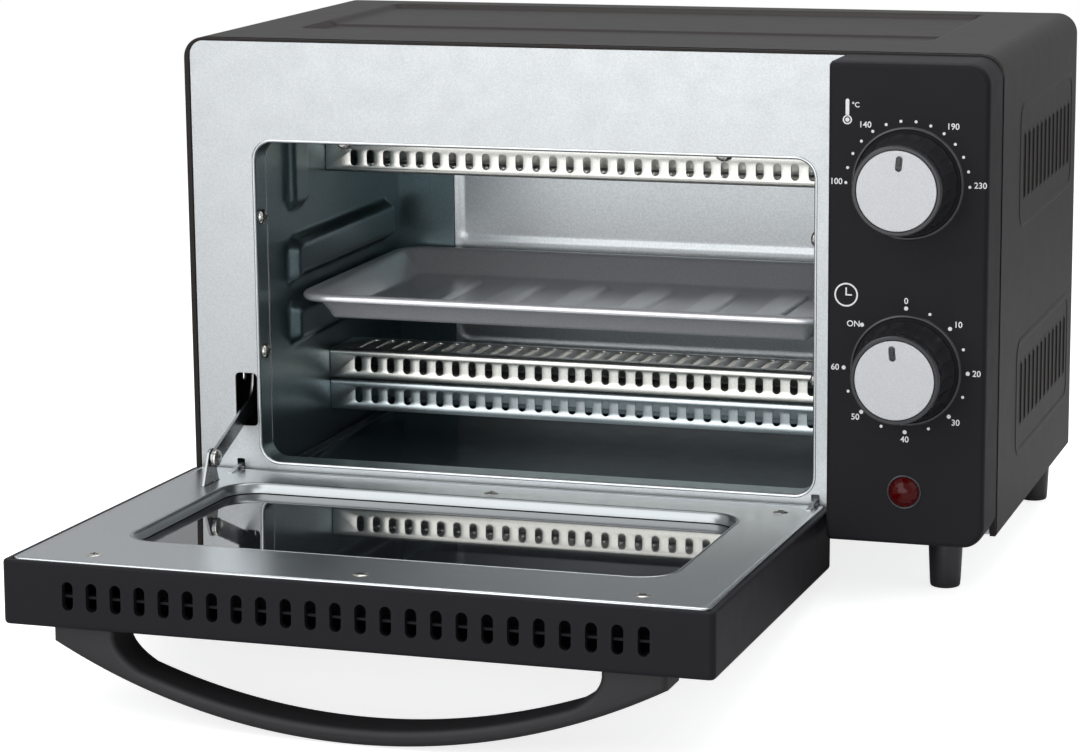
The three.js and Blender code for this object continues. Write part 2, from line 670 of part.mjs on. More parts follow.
function innerPlate() {
  const { width, height, rim } = DOOR;
  const face = box(rim + GAP, width - rim - GAP, -SHEET, 0, GAP, height - rim - 0.9);
  const lip = frontal(windowOutline(0), GLASS.y1 + GAP, 0);
  const bevel = frontal(windowOutline(-1), -10, 1);
  const slit = box(BRACKET.x0 - GAP, BRACKET.x1 + GAP, -3, 1, BRACKET.z0 - GAP, BRACKET.z1 + GAP);
  const hooks = TABS.map(([a, b]) => sideways(hookOutline(), a, b));
  const holes = DOOR_SCREWS.map(([x, z]) => frontal(disc(x, z, COUNTERSUNK.hole), -2, 1, 10));
  return cut(join(face, lip, ...hooks), bevel, slit, ...holes);
}

function doorGlass() {
  return frontal(windowOutline(GLASS.margin), GLASS.y0, GLASS.y1);
}

function arcBetween(shape, radius, apexY, from, to) {
  const middle = (HANDLE.x0 + HANDLE.x1) / 2;
  const centre = apexY + radius;
  const angle = (x) => Math.atan2(Math.sqrt(radius ** 2 - (x - middle) ** 2) * -1, x - middle);
  shape.absarc(middle, centre, radius, angle(from), angle(to), from > to);
}

// The handle's outline in x and y: two posts on the door's outer face, joined by a shallow bow.
function doorHandle() {
  const { x0, x1, apex, arc, inner, innerArc } = HANDLE;
  const { width, fillet } = HANDLE_POST;
  const face = -DOOR.thick - GAP;
  const outline = new THREE.Shape();
  outline.moveTo(x0, face);
  arcBetween(outline, arc, -apex, x0, x1);
  outline.lineTo(x1, face);
  outline.lineTo(x0, face);
  const bay = new THREE.Shape();
  const left = x0 + width;
  const right = x1 - width;
  bay.moveTo(left, face + 1);
  bay.lineTo(left, face - fillet * 0.35);
  bay.quadraticCurveTo(left + 0.5, face - fillet * 1.1, left + fillet, -39.5);
  arcBetween(bay, innerArc, -inner, left + fillet + 2, right - fillet - 2);
  bay.lineTo(right - fillet, -39.5);
  bay.quadraticCurveTo(right - 0.5, face - fillet * 1.1, right, face - fillet * 0.35);
  bay.lineTo(right, face + 1);
  const bar = upright(outline, HANDLE.z0, HANDLE.z1, 14);
  return cut(bar, upright(bay, HANDLE.z0 - 1, HANDLE.z1 + 1, 12));
}

function handleScrew(x) {
  const z = (HANDLE.z0 + HANDLE.z1) / 2 - 3;
  const seat = -DOOR.thick + DOOR.wall + 0.2;
  const profile = [[0, seat], [3.6, seat], [3, seat + 2], [0, seat + 2.4]];
  return turnedAlongY(profile, x, z, 10);
}

function bracket() {
  const outline = polygon([[-6, BRACKET.z1], [-6, BRACKET.z0], [0, BRACKET.z0], [6, BRACKET.z0 + 1.2]]);
  const tip = disc(PIVOT.y, PIVOT.z, 4.4);
  outline.lineTo(PIVOT.y + 3, PIVOT.z - 3.2);
  outline.lineTo(PIVOT.y + 3, PIVOT.z + 3.2);
  outline.lineTo(0, BRACKET.z1);
  const { x0, x1 } = BRACKET;
  const plate = join(sideways(outline, x0, x1), sideways(tip, x0, x1, 12));
  return cut(plate, sideways(disc(PIVOT.y, PIVOT.z, PIVOT.hole), x0 - 1, x1 + 1, 12));
}

function pivotRivet() {
  const { pin } = PIVOT;
  const profile = [
    [0, BRACKET.x0 - 0.9],
    [2.8, BRACKET.x0 - 0.9],
    [2.8, BRACKET.x0 - GAP],
    [pin, BRACKET.x0 - GAP],
    [pin, ARM.x1 + GAP],
    [3.2, ARM.x1 + GAP],
    [2.4, ARM.x1 + 1.3],
    [0, ARM.x1 + 1.5],
  ];
  return turnedAlongX(profile, PIVOT.y, PIVOT.z);
}

// A countersunk screw whose head lies level with the plate, clear of the front panel when shut.
function doorScrew([x, z]) {
  const { head, shank, proud } = COUNTERSUNK;
  const profile = [[0, -4], [shank, -4], [shank, -1.4], [head, -0.3], [head, proud], [0, proud]];
  return turnedAlongY(profile, x, z, 10);
}

function buildDoor() {
  piece(door, 'door_frame', doorFrame(), PLASTIC, 0.6, 0);
  piece(door, 'door_inner_plate', innerPlate(), STEEL.galvanised, 0.35, 0.9);
  piece(door, 'door_glass', doorGlass(), 0x16181a, 0.05, 0);
  piece(door, 'door_handle', doorHandle(), PLASTIC, 0.75, 0);
  piece(door, 'door_bracket', bracket(), STEEL.bright, 0.4, 0.9);
  piece(door, 'arm_rivet', pivotRivet(), STEEL.bright, 0.4, 0.9);
  piece(door, 'handle_screw_left', handleScrew(HANDLE.x0 + 9), STEEL.bright, 0.4, 0.9);
  piece(door, 'handle_screw_right', handleScrew(HANDLE.x1 - 9), STEEL.bright, 0.4, 0.9);
  DOOR_SCREWS.forEach((place, i) => {
    piece(door, `door_screw_${i + 1}`, doorScrew(place), STEEL.bright, 0.35, 0.9);
  });
}

// ---- Door lever ---------------------------------------------------------------------------
// The pivot's place in the body frame with the door open.
function openPivot() {
  const angle = THREE.MathUtils.degToRad(DOOR_ANGLE);
  const y = PIVOT.y - HINGE.doorY;
  const z = PIVOT.z - HINGE.doorZ;
  return {
    y: HINGE.y + y * Math.cos(angle) - z * Math.sin(angle),
    z: HINGE.z + y * Math.sin(angle) + z * Math.cos(angle),
  };
}

// Points of the strip's centre line in its own frame: straight out, then a bend upwards.
function armLine() {
  const turn = THREE.MathUtils.degToRad(ARM.turn);
  const steps = 6;
  const line = [[0, 0, 0], [ARM.straight, 0, 0]];
  for (let i = 1; i <= steps; i += 1) {
    const a = (turn * i) / steps;
    line.push([ARM.straight + ARM.bend * Math.sin(a), ARM.bend * (1 - Math.cos(a)), a]);
  }
  const [s, n] = line[line.length - 1];
  line.push([s + ARM.tail * Math.cos(turn), n + ARM.tail * Math.sin(turn), turn]);
  return line;
}

function armStrip() {
  const half = ARM.width / 2;
  const line = armLine();
  const offset = (reach) => ([s, n, a]) => [s - reach * Math.sin(a), n + reach * Math.cos(a)];
  const side = (sign) => line.map(offset(sign * half));
  const strip = sideways(polygon([...side(-1), ...side(1).reverse()]), ARM.x0, ARM.x1);
  const [endS, endN] = line[line.length - 1];
  const eye = sideways(disc(0, 0, half), ARM.x0, ARM.x1, 12);
  const tip = sideways(disc(endS, endN, half), ARM.x0, ARM.x1, 12);
  const pinHole = sideways(disc(0, 0, PIVOT.hole), ARM.x0 - 1, ARM.x1 + 1, 12);
  const springHole = sideways(disc(endS, endN, 1.8), ARM.x0 - 1, ARM.x1 + 1, 8);
  return cut(join(strip, eye, tip), pinHole, springHole);
}

function placedArm() {
  const pivot = openPivot();
  const arm = piece(body, 'door_arm', armStrip(), STEEL.bright, 0.35, 0.9);
  arm.rotation.x = THREE.MathUtils.degToRad(ARM.angle);
  arm.position.set(0, pivot.y, pivot.z);
  return arm;
}

function armTip() {
  const pivot = openPivot();
  const [s, n] = armLine().at(-1);
  const a = THREE.MathUtils.degToRad(ARM.angle);
  return {
    y: pivot.y + s * Math.cos(a) - n * Math.sin(a),
    z: pivot.z + s * Math.sin(a) + n * Math.cos(a),
  };
}

// The tension spring runs back beside the tip of the arm, between the shell and the cavity wall.
function springSolid(length) {
  const r = SPRING.radius;
  const start = [[0, 0], [0.7, 0], [0.7, 5], [r, 6]];
  const finish = start.map(([radius, at]) => [radius, length - at]).reverse();
  return solid(turned([...start, ...finish], 8));
}

function placedSpring() {
  const tip = armTip();
  const from = new THREE.Vector3(SPRING.startX, tip.y, tip.z);
  const to = new THREE.Vector3(SPRING.endX, SPRING.anchorY, SPRING.anchorZ);
  const along = to.clone().sub(from);
  const spring = piece(body, 'door_spring', springSolid(along.length() - 1), STEEL.bright, 0.4, 0.9);
  spring.quaternion.setFromUnitVectors(new THREE.Vector3(0, 1, 0), along.normalize());
  spring.position.copy(from);
}

function springAnchor() {
  const { anchorY: y, anchorZ: z } = SPRING;
  const x = WALL_INSIDE - SHEET - GAP;
  const foot_ = box(x - SHEET, x, y, y + 16, z - 8, z + 8);
  const ear = box(x - 17, x, y, y + SHEET, z - 5, z + 5);
  return join(foot_, ear);
}

function buildLever() {
  placedArm();
  placedSpring();
  piece(body, 'spring_anchor', springAnchor(), STEEL.galvanised, 0.4, 0.9);
}

buildBody();
buildCavity();
buildControls();
buildDoor();
buildLever();

oven.updateMatrixWorld(true);
const bounds = new THREE.Box3().setFromObject(oven, true);
oven.position.set(-(bounds.min.x + bounds.max.x) / 2, -(bounds.min.y + bounds.max.y) / 2, -bounds.min.z);
oven.updateMatrixWorld(true);

export default oven;
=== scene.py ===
"""A countertop toaster oven with its door open: refined surfaces, materials, light and camera.

Shapes are drawn in millimetres, either in the case's frame (X right, Y back from the front panel,
Z up from the underside) or in the door's frame (door shut: y 0 on its inner face, z 0 on its lower
edge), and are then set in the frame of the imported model.
"""

import math

import bmesh
import bpy
import numpy as np
from mathutils import Matrix, Vector


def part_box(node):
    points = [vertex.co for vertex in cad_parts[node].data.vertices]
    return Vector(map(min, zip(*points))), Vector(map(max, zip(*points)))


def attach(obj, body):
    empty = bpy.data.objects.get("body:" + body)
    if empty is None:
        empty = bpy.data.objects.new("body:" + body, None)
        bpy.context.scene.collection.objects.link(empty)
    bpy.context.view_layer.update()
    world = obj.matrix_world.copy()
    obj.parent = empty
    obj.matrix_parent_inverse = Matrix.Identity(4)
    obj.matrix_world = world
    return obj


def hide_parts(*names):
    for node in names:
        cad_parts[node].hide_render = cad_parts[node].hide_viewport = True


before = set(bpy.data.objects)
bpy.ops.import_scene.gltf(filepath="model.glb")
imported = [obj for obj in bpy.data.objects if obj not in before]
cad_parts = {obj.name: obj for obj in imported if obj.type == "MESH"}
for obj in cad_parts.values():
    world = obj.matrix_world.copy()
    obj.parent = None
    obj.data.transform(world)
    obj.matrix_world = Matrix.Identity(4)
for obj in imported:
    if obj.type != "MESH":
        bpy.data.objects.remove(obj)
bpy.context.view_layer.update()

MM = 0.001
SHELL_FRONT = -0.5
HINGE_Y, HINGE_Z = -2.5, 7.2
DOOR_SHIFT_Y, DOOR_SHIFT_Z = 1.6, -0.4
DOOR_ANGLE = math.radians(88.75)
KNOB_X, THERMOSTAT_Z, TIMER_Z = 327.1, 150.4, 73.9

shell_low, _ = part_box("outer_shell")
CASE = Matrix.Translation(shell_low) @ Matrix.Scale(MM, 4)
CASE = CASE @ Matrix.Translation((0, -SHELL_FRONT, 0))
DOOR = CASE @ Matrix.Translation((0, HINGE_Y, HINGE_Z)) @ Matrix.Rotation(DOOR_ANGLE, 4, "X")
DOOR = DOOR @ Matrix.Translation((0, DOOR_SHIFT_Y, DOOR_SHIFT_Z))

# Axes for flat pieces: the outline's two axes first, then the thickness.
FRONTAL = Matrix(((1, 0, 0, 0), (0, 0, 1, 0), (0, 1, 0, 0), (0, 0, 0, 1)))
SIDEWAYS = Matrix(((0, 0, 1, 0), (1, 0, 0, 0), (0, 1, 0, 0), (0, 0, 0, 1)))
UPRIGHT = Matrix.Identity(4)


# ---- Materials ----------------------------------------------------------------------------
def node(tree, kind, **inputs):
    made = tree.nodes.new(kind)
    for key, value in inputs.items():
        made.inputs[key.replace("_", " ")].default_value = value
    return made


def surface(name, color, rough, metallic=0.0, grain=None, bump=None, uneven=0.0, **extra):
    """A principled surface. grain = (scale, second colour); bump = (scale, height in mm);
    uneven varies the roughness up and down by that much over a few millimetres."""
    material = bpy.data.materials.new(name)
    material.use_nodes = True
    tree = material.node_tree
    shader = tree.nodes["Principled BSDF"]
    shader.inputs["Base Color"].default_value = (*color, 1)
    shader.inputs["Roughness"].default_value = rough
    shader.inputs["Metallic"].default_value = metallic
    for key, value in extra.items():
        shader.inputs[key.replace("_", " ")].default_value = value
    place = tree.nodes.new("ShaderNodeTexCoord")
    link = tree.links.new
    if grain:
        scale, other = grain
        noise = node(tree, "ShaderNodeTexNoise", Scale=scale, Detail=3.0, Roughness=0.6)
        mix = tree.nodes.new("ShaderNodeMix")
        mix.data_type = "RGBA"
        mix.inputs["A"].default_value = (*color, 1)
        mix.inputs["B"].default_value = (*other, 1)
        spread = tree.nodes.new("ShaderNodeMapRange")
        spread.inputs["From Min"].default_value = 0.38
        spread.inputs["From Max"].default_value = 0.62
        link(place.outputs["Object"], noise.inputs["Vector"])
        link(noise.outputs["Fac"], spread.inputs["Value"])
        link(spread.outputs["Result"], mix.inputs["Factor"])
        link(mix.outputs["Result"], shader.inputs["Base Color"])
    if uneven:
        smudge = node(tree, "ShaderNodeTexNoise", Scale=90.0, Detail=4.0)
        spread = tree.nodes.new("ShaderNodeMapRange")
        spread.inputs["From Min"].default_value = 0.3
        spread.inputs["From Max"].default_value = 0.7
        spread.inputs["To Min"].default_value = rough - uneven
        spread.inputs["To Max"].default_value = rough + uneven
        link(place.outputs["Object"], smudge.inputs["Vector"])
        link(smudge.outputs["Fac"], spread.inputs["Value"])
        link(spread.outputs["Result"], shader.inputs["Roughness"])
    if bump:
        scale, height = bump
        relief = node(tree, "ShaderNodeTexNoise", Scale=scale, Detail=2.0)
        lift = node(tree, "ShaderNodeBump", Strength=1.0, Distance=height * MM)
        link(place.outputs["Object"], relief.inputs["Vector"])
        link(relief.outputs["Fac"], lift.inputs["Height"])
        link(lift.outputs["Normal"], shader.inputs["Normal"])
    return material


PAINT = surface("stove_paint", (0.026, 0.0226, 0.0212), 0.42, bump=(1400, 0.012), uneven=0.01,
                Specular_IOR_Level=0.10)
GALVANISED = surface("galvanised_steel", (0.46, 0.48, 0.495), 0.40, 1.0,
                     grain=(2200, (0.555, 0.575, 0.585)), bump=(1800, 0.006), uneven=0.03)
PLATE = surface("door_plate_steel", (0.53, 0.555, 0.57), 0.27, 1.0,
                grain=(1800, (0.62, 0.645, 0.66)), bump=(1500, 0.004))
# The liner's teal steel for the side walls, ceiling and collar; its base colour is kept dark, in
# part as painted shade of the cavity.
LINER = surface("liner_steel", (0.135, 0.185, 0.20), 0.32, 0.9,
                grain=(900, (0.165, 0.22, 0.235)), bump=(900, 0.005), uneven=0.02)
BACK_STEEL = surface("rear_panel_steel", (0.44, 0.465, 0.48), 0.30, 1.0,
                     grain=(1500, (0.54, 0.565, 0.58)), bump=(1500, 0.006))
GUARD_STEEL = surface("guard_steel", (0.68, 0.675, 0.635), 0.30, 1.0,
                      grain=(1300, (0.79, 0.785, 0.74)), bump=(1300, 0.006), uneven=0.02)
GUARD_BASE = surface("guard_base_steel", (0.52, 0.585, 0.61), 0.30, 1.0,
                     grain=(1300, (0.62, 0.68, 0.70)), bump=(1300, 0.006), uneven=0.02)
# Bright steel for the opening's lip and the door plate's outer edge; on the liners' front edges it
# is a painted highlight.
BRIGHT = surface("bright_lip", (0.56, 0.585, 0.60), 0.24, 1.0, uneven=0.02)
EDGE = surface("rolled_edge", (0.36, 0.38, 0.39), 0.28, 1.0)
BLACK = surface("black_plastic", (0.0125, 0.0120, 0.0142), 0.50, bump=(1900, 0.045), uneven=0.02,
                Specular_IOR_Level=0.12)
HANDLE_BLACK = surface("handle_plastic", (0.021, 0.0206, 0.0225), 0.52, bump=(1500, 0.04),
                       uneven=0.02, Specular_IOR_Level=0.34)
KNOB_BLACK = surface("knob_plastic", (0.020, 0.0195, 0.0225), 0.24, uneven=0.02,
                     Specular_IOR_Level=0.6)
CAP = surface("knob_cap_silver", (0.49, 0.495, 0.51), 0.48, 0.5,
              grain=(2600, (0.58, 0.585, 0.60)), bump=(2400, 0.01))
# Near-black for the screws' cross recesses: painted shade where a recess would be dark.
CROSS_SHADE = surface("painted_cross_shade", (0.006, 0.006, 0.007), 0.5)
PRINT = surface("white_print", (0.80, 0.80, 0.80), 0.55)
GLASS = surface("door_glass", (0.010, 0.011, 0.013), 0.03, IOR=1.52, Coat_Weight=0.6,
                Coat_Roughness=0.02)
TRAY = surface("tray_coating", (0.80, 0.795, 0.825), 0.30, 0.55,
               grain=(1600, (0.90, 0.895, 0.92)), bump=(1500, 0.008))
CRUMB = surface("crumb_tray_coating", (0.058, 0.082, 0.092), 0.22, 0.7, uneven=0.03)
LEVER = surface("lever_steel", (0.34, 0.345, 0.35), 0.26, 1.0, uneven=0.03)
SCREW = surface("screw_steel", (0.62, 0.60, 0.56), 0.24, 1.0, uneven=0.05)
CERAMIC = surface("ceramic", (0.72, 0.69, 0.62), 0.6)
ROD = surface("heater_rod", (0.12, 0.115, 0.11), 0.4, 0.8, uneven=0.08)
HOUSING = surface("switch_housing", (0.50, 0.43, 0.31), 0.6)
LAMP = surface("lamp_red", (0.045, 0.0008, 0.001), 0.12, Specular_IOR_Level=0.22,
               Emission_Color=(0.30, 0.0, 0.0, 1), Emission_Strength=0.04)


# ---- Building helpers ---------------------------------------------------------------------
WELD = 0.004


def joined(name, parts, scale, weld):
    """One mesh from parts, a list of (verts, faces, matrix into the model's frame)."""
    verts, faces = [], []
    for points, polygons, matrix in parts:
        first = len(verts)
        verts += [matrix @ Vector(p) * scale for p in points]
        faces += [[i + first for i in polygon] for polygon in polygons]
    mesh = bpy.data.meshes.new(name)
    mesh.from_pydata(verts, [], faces)
    cleaned = bmesh.new()
    cleaned.from_mesh(mesh)
    bmesh.ops.remove_doubles(cleaned, verts=cleaned.verts, dist=weld)
    bmesh.ops.recalc_face_normals(cleaned, faces=cleaned.faces)
    cleaned.to_mesh(mesh)
    cleaned.free()
    return mesh


def put(name, parts, material, body, nodes=(), angle=38, flat=True):
    """One visible piece, with edges sharper than the angle kept sharp; flat evens out its faces."""
    mesh = joined(name, parts, 1, WELD * MM)
    mesh.materials.append(material)
    mesh.shade_smooth()
    mesh.set_sharp_from_angle(angle=math.radians(angle))
    piece = bpy.data.objects.new(name, mesh)
    bpy.context.scene.collection.objects.link(piece)
    if flat:
        weighted = piece.modifiers.new("flat_faces", "WEIGHTED_NORMAL")
        weighted.keep_sharp = True
    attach(piece, body)
    if nodes:
        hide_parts(*nodes)
    return piece


def rounded(x0, y0, x1, y1, radius, steps=8):
    """A rectangle with round corners; radius is one number, or four from the lower left."""
    radii = radius if isinstance(radius, (list, tuple)) else [radius] * 4
    corners = [(x0, y0, 1, 1, math.pi), (x1, y0, -1, 1, 1.5 * math.pi)]
    corners += [(x1, y1, -1, -1, 0.0), (x0, y1, 1, -1, 0.5 * math.pi)]
    points = []
    for (cx, cy, sx, sy, start), r in zip(corners, radii):
        if r <= 0:
            points.append((cx, cy))
            continue
        for i in range(steps + 1):
            a = start + 0.5 * math.pi * i / steps
            points.append((cx + sx * r + r * math.cos(a), cy + sy * r + r * math.sin(a)))
    return points


def circle(x, y, radius, steps=32):
    turn = [2 * math.pi * i / steps for i in range(steps)]
    return [(x + radius * math.cos(a), y + radius * math.sin(a)) for a in turn]


def capsule(x, y, width, length, steps=6):
    r = width / 2
    return rounded(x - r, y - length / 2, x + r, y + length / 2, r, steps)


def taken(curve, dx, dy, dz):
    """A curve's mesh as verts and faces, moved by an offset. The curve is used up."""
    holder = bpy.data.objects.new(curve.name, curve)
    mesh = bpy.data.meshes.new_from_object(holder)
    verts = [(v.co.x + dx, v.co.y + dy, v.co.z + dz) for v in mesh.vertices]
    faces = [list(p.vertices) for p in mesh.polygons]
    bpy.data.objects.remove(holder)
    bpy.data.curves.remove(curve)
    bpy.data.meshes.remove(mesh)
    return verts, faces


def slab(loops, low, high, axes, frame_matrix, bevel=0.3, steps=2):
    """A flat plate with round edges: the first loop is its outline, the others are holes."""
    curve = bpy.data.curves.new("slab", "CURVE")
    curve.dimensions = "2D"
    curve.fill_mode = "BOTH"
    curve.extrude = (high - low) / 2 - bevel
    curve.bevel_depth = bevel
    curve.bevel_resolution = steps
    curve.offset = -bevel
    for loop in loops:
        spline = curve.splines.new("POLY")
        spline.points.add(len(loop) - 1)
        for point, (x, y) in zip(spline.points, loop):
            point.co = (x, y, 0, 1)
        spline.use_cyclic_u = True
    verts, faces = taken(curve, 0, 0, (low + high) / 2)
    return verts, faces, frame_matrix @ axes


def loft(rings, frame_matrix, caps=(True, True), closed=False):
    """A skin through rings of points with equal counts."""
    count = len(rings[0])
    verts = [p for ring in rings for p in ring]
    pairs = [(r, r + 1) for r in range(len(rings) - 1)]
    if closed:
        pairs.append((len(rings) - 1, 0))
    faces = []
    for a, b in pairs:
        for i in range(count):
            j = (i + 1) % count
            faces.append([a * count + i, a * count + j, b * count + j, b * count + i])
    if caps[0]:
        faces.append(list(range(count))[::-1])
    if caps[1]:
        faces.append([(len(rings) - 1) * count + i for i in range(count)])
    return verts, faces, frame_matrix


def lathe(profile, place, axis, frame_matrix, segments=64, shape=None, capped=True):
    """A turned piece: profile is (radius, height along the axis); shape may vary the radius."""
    turn = {"X": Matrix.Rotation(math.pi / 2, 4, "Y"), "Y": Matrix.Rotation(-math.pi / 2, 4, "X")}
    matrix = frame_matrix @ Matrix.Translation(place) @ turn.get(axis, Matrix.Identity(4))
    rings = []
    for r, h in profile:
        ring = []
        for i in range(segments):
            a = 2 * math.pi * i / segments
            size = shape(a, r, h) if shape else r
            ring.append((size * math.cos(a), size * math.sin(a), h))
        rings.append(ring)
    ends = [capped and profile[end][0] > 0 for end in (0, -1)]
    return loft(rings, matrix, ends)


def block(low, high, frame_matrix, bevel=0.0):
    """A box between two corners, with its edges bevelled if asked."""
    (x0, y0, z0), (x1, y1, z1) = low, high
    loop = rounded(x0, y0, x1, y1, 0)
    if bevel:
        return slab([loop], z0, z1, UPRIGHT, frame_matrix, bevel, 1)
    rings = [[(x, y, z) for x, y in loop] for z in (z0, z1)]
    return loft(rings, frame_matrix)


def grid(us, vs, height, axes, frame_matrix, thickness):
    """A pressed sheet: height(u, v) off the plane, with its second skin a thickness below it."""
    count = len(vs)
    verts = [(u, v, height(u, v)) for u in us for v in vs]
    verts += [(u, v, height(u, v) - thickness) for u in us for v in vs]
    total = len(us) * count
    faces = []
    for i in range(len(us) - 1):
        for j in range(count - 1):
            a = i * count + j
            faces.append([a, a + count, a + count + 1, a + 1])
            faces.append([a + total, a + total + 1, a + total + count + 1, a + total + count])
    edge = [i * count for i in range(len(us))]
    edge += [(len(us) - 1) * count + j for j in range(1, count)]
    edge += [i * count + count - 1 for i in range(len(us) - 2, -1, -1)]
    edge += [j for j in range(count - 2, 0, -1)]
    for a, b in zip(edge, edge[1:] + edge[:1]):
        faces.append([a, a + total, b + total, b])
    return verts, faces, frame_matrix @ axes


def spaced(low, high, step):
    """Even steps from low to high, each about one step long."""
    return list(np.linspace(low, high, max(2, int(round((high - low) / step)) + 1)))


def inside(u, v, u0, v0, u1, v1, radius):
    """How far (u, v) lies inside a rectangle with round corners; negative outside it."""
    du = abs(u - (u0 + u1) / 2) - (u1 - u0) / 2 + radius
    dv = abs(v - (v0 + v1) / 2) - (v1 - v0) / 2 + radius
    outside = math.hypot(max(du, 0), max(dv, 0)) + min(max(du, dv), 0)
    return radius - outside


def ramp(value, low, high):
    """0 at low, 1 at high, smooth between; low may be the larger."""
    t = min(max((value - low) / (high - low), 0), 1)
    return t * t * (3 - 2 * t)


def carved(part, cutters):
    """A part with cutter parts taken out of it, worked in millimetres for the sake of precision."""
    def temporary(parts):
        made = bpy.data.objects.new("temporary", joined("temporary", parts, 1 / MM, WELD))
        bpy.context.scene.collection.objects.link(made)
        return made

    target, tool = temporary([part]), temporary(cutters)
    cut = target.modifiers.new("cut", "BOOLEAN")
    cut.operation = "DIFFERENCE"
    cut.solver = "EXACT"
    cut.object = tool
    bpy.context.view_layer.update()
    graph = bpy.context.evaluated_depsgraph_get()
    mesh = bpy.data.meshes.new_from_object(target.evaluated_get(graph))
    verts = [tuple(v.co) for v in mesh.vertices]
    faces = [list(p.vertices) for p in mesh.polygons]
    for unwanted in (target, tool):
        bpy.data.objects.remove(unwanted)
    return verts, faces, Matrix.Scale(MM, 4)


# ---- Case ---------------------------------------------------------------------------------
WIDTH, DEPTH, HEIGHT, CORNER = 360, 188, 200, 9
PANEL_Y, SOLE_Z = -28, -25
LOUVRE_Y = [55 + 10.2 * i for i in range(12)]
LOUVRE_ROWS = ((134.2, 161.6, 124, 173.6), (36.6, 63.2, 25, 72.8))
LOUVRE_SLOT, LOUVRE_FIELD = 3.5, (44.5, 176)
RECESS, RECESS_DEPTH = (36, 48, 318.5, 172), (2.6, 1.8)
RECESS_STEP = (85.2, 87)
HEM_X, HEM_Z = 2.4, 1.4


def top_height(x, y):
    """The top's recess, which is deeper in front of a step across it."""
    front, rear = RECESS_DEPTH
    depth = front - (front - rear) * ramp(y, *RECESS_STEP)
    return -depth * ramp(inside(x, y, *RECESS, 5), -1.0, 1.2)


def build_shell():
    parts = []
    for x0 in (0, WIDTH - 1):
        holes = [capsule(y, (a + b) / 2, LOUVRE_SLOT, b - a)
                 for y in LOUVRE_Y for a, b, _, _ in LOUVRE_ROWS]
        outline = rounded(SHELL_FRONT + 1, 0, DEPTH, HEIGHT - CORNER, 0)
        parts.append(slab([outline, *holes], x0, x0 + 1, SIDEWAYS, CASE, 0.0))
    us, vs = spaced(CORNER, WIDTH - CORNER, 1.8), spaced(SHELL_FRONT + 1, DEPTH, 1.6)
    parts.append(grid(us, vs, lambda u, v: HEIGHT + top_height(u, v), UPRIGHT, CASE, 1))
    for side in (-1, 1):
        arc = []
        for i in range(13):
            a = 0.5 * math.pi * i / 12
            centre = WIDTH / 2 + side * (WIDTH / 2 - CORNER)
            arc.append([(centre + side * r * math.cos(a), HEIGHT - CORNER + r * math.sin(a))
                        for r in (CORNER, CORNER - 1)])
        loop = [p[0] for p in arc] + [p[1] for p in reversed(arc)]
        rings = [[(x, y, z) for x, z in loop] for y in (SHELL_FRONT + 1, DEPTH)]
        parts.append(loft(rings, CASE))
    outer = rounded(0, 0, WIDTH, HEIGHT, [0, 0, CORNER, CORNER], 12)
    bend_radius = CORNER - HEM_X
    inner = rounded(HEM_X, 0, WIDTH - HEM_X, HEIGHT - HEM_Z, [0, 0, bend_radius, bend_radius], 12)
    hem = outer[1:] + outer[:1] + inner[:1] + inner[1:][::-1]
    parts.append(slab([hem], SHELL_FRONT, 3.5, FRONTAL, CASE, 0.45, 3))
    put("shell", parts, PAINT, "case", ["outer_shell"], 30, flat=False)
    build_louvre_beads()


def bead(loop, width, height, axes, matrix, base):
    """A low round rib along a closed outline."""
    centre = np.array(loop)
    ahead, behind = np.roll(centre, -1, 0), np.roll(centre, 1, 0)
    along = ahead - behind
    along /= np.linalg.norm(along, axis=1)[:, None]
    across = np.stack([along[:, 1], -along[:, 0]], 1)
    rings = []
    for i in range(7):
        a = math.pi * i / 6
        offset, rise = math.cos(a) * width / 2, math.sin(a) * height
        ring = centre + across * offset
        rings.append([(x, y, base + rise) for x, y in ring])
    return loft(rings, matrix @ axes, (False, False))


def build_louvre_beads():
    parts = []
    mirror = Matrix.Translation((WIDTH, 0, 0)) @ Matrix.Scale(-1, 4, (1, 0, 0))
    for side in (CASE, CASE @ mirror):
        for low, high, z0, z1 in LOUVRE_ROWS:
            outline = rounded(LOUVRE_FIELD[0], z0, LOUVRE_FIELD[1], z1, 7, 8)
            parts.append(bead(outline, 3.4, 0.35, SIDEWAYS, side, WIDTH - 0.02))
            for y in LOUVRE_Y:
                rim = capsule(y, (low + high) / 2, LOUVRE_SLOT + 1.2, high - low + 1.2)
                parts.append(bead(rim, 1.3, 0.18, SIDEWAYS, side, WIDTH - 0.02))
    put("shell_embossing", parts, PAINT, "case", (), 60, flat=False)


OPENING = (32, 12.4, 282, 154.7)
OPENING_RADIUS = 8
ARM_SLOT = (20, 28, 30.2, 51.8)
HOOK_SLOTS, HOOK_SLOT_Z = ((19.9, 23.4), (281.7, 285.2)), (1.5, 12.9)
HOOKS = ((20.6, 22.7), (282.4, 284.5))


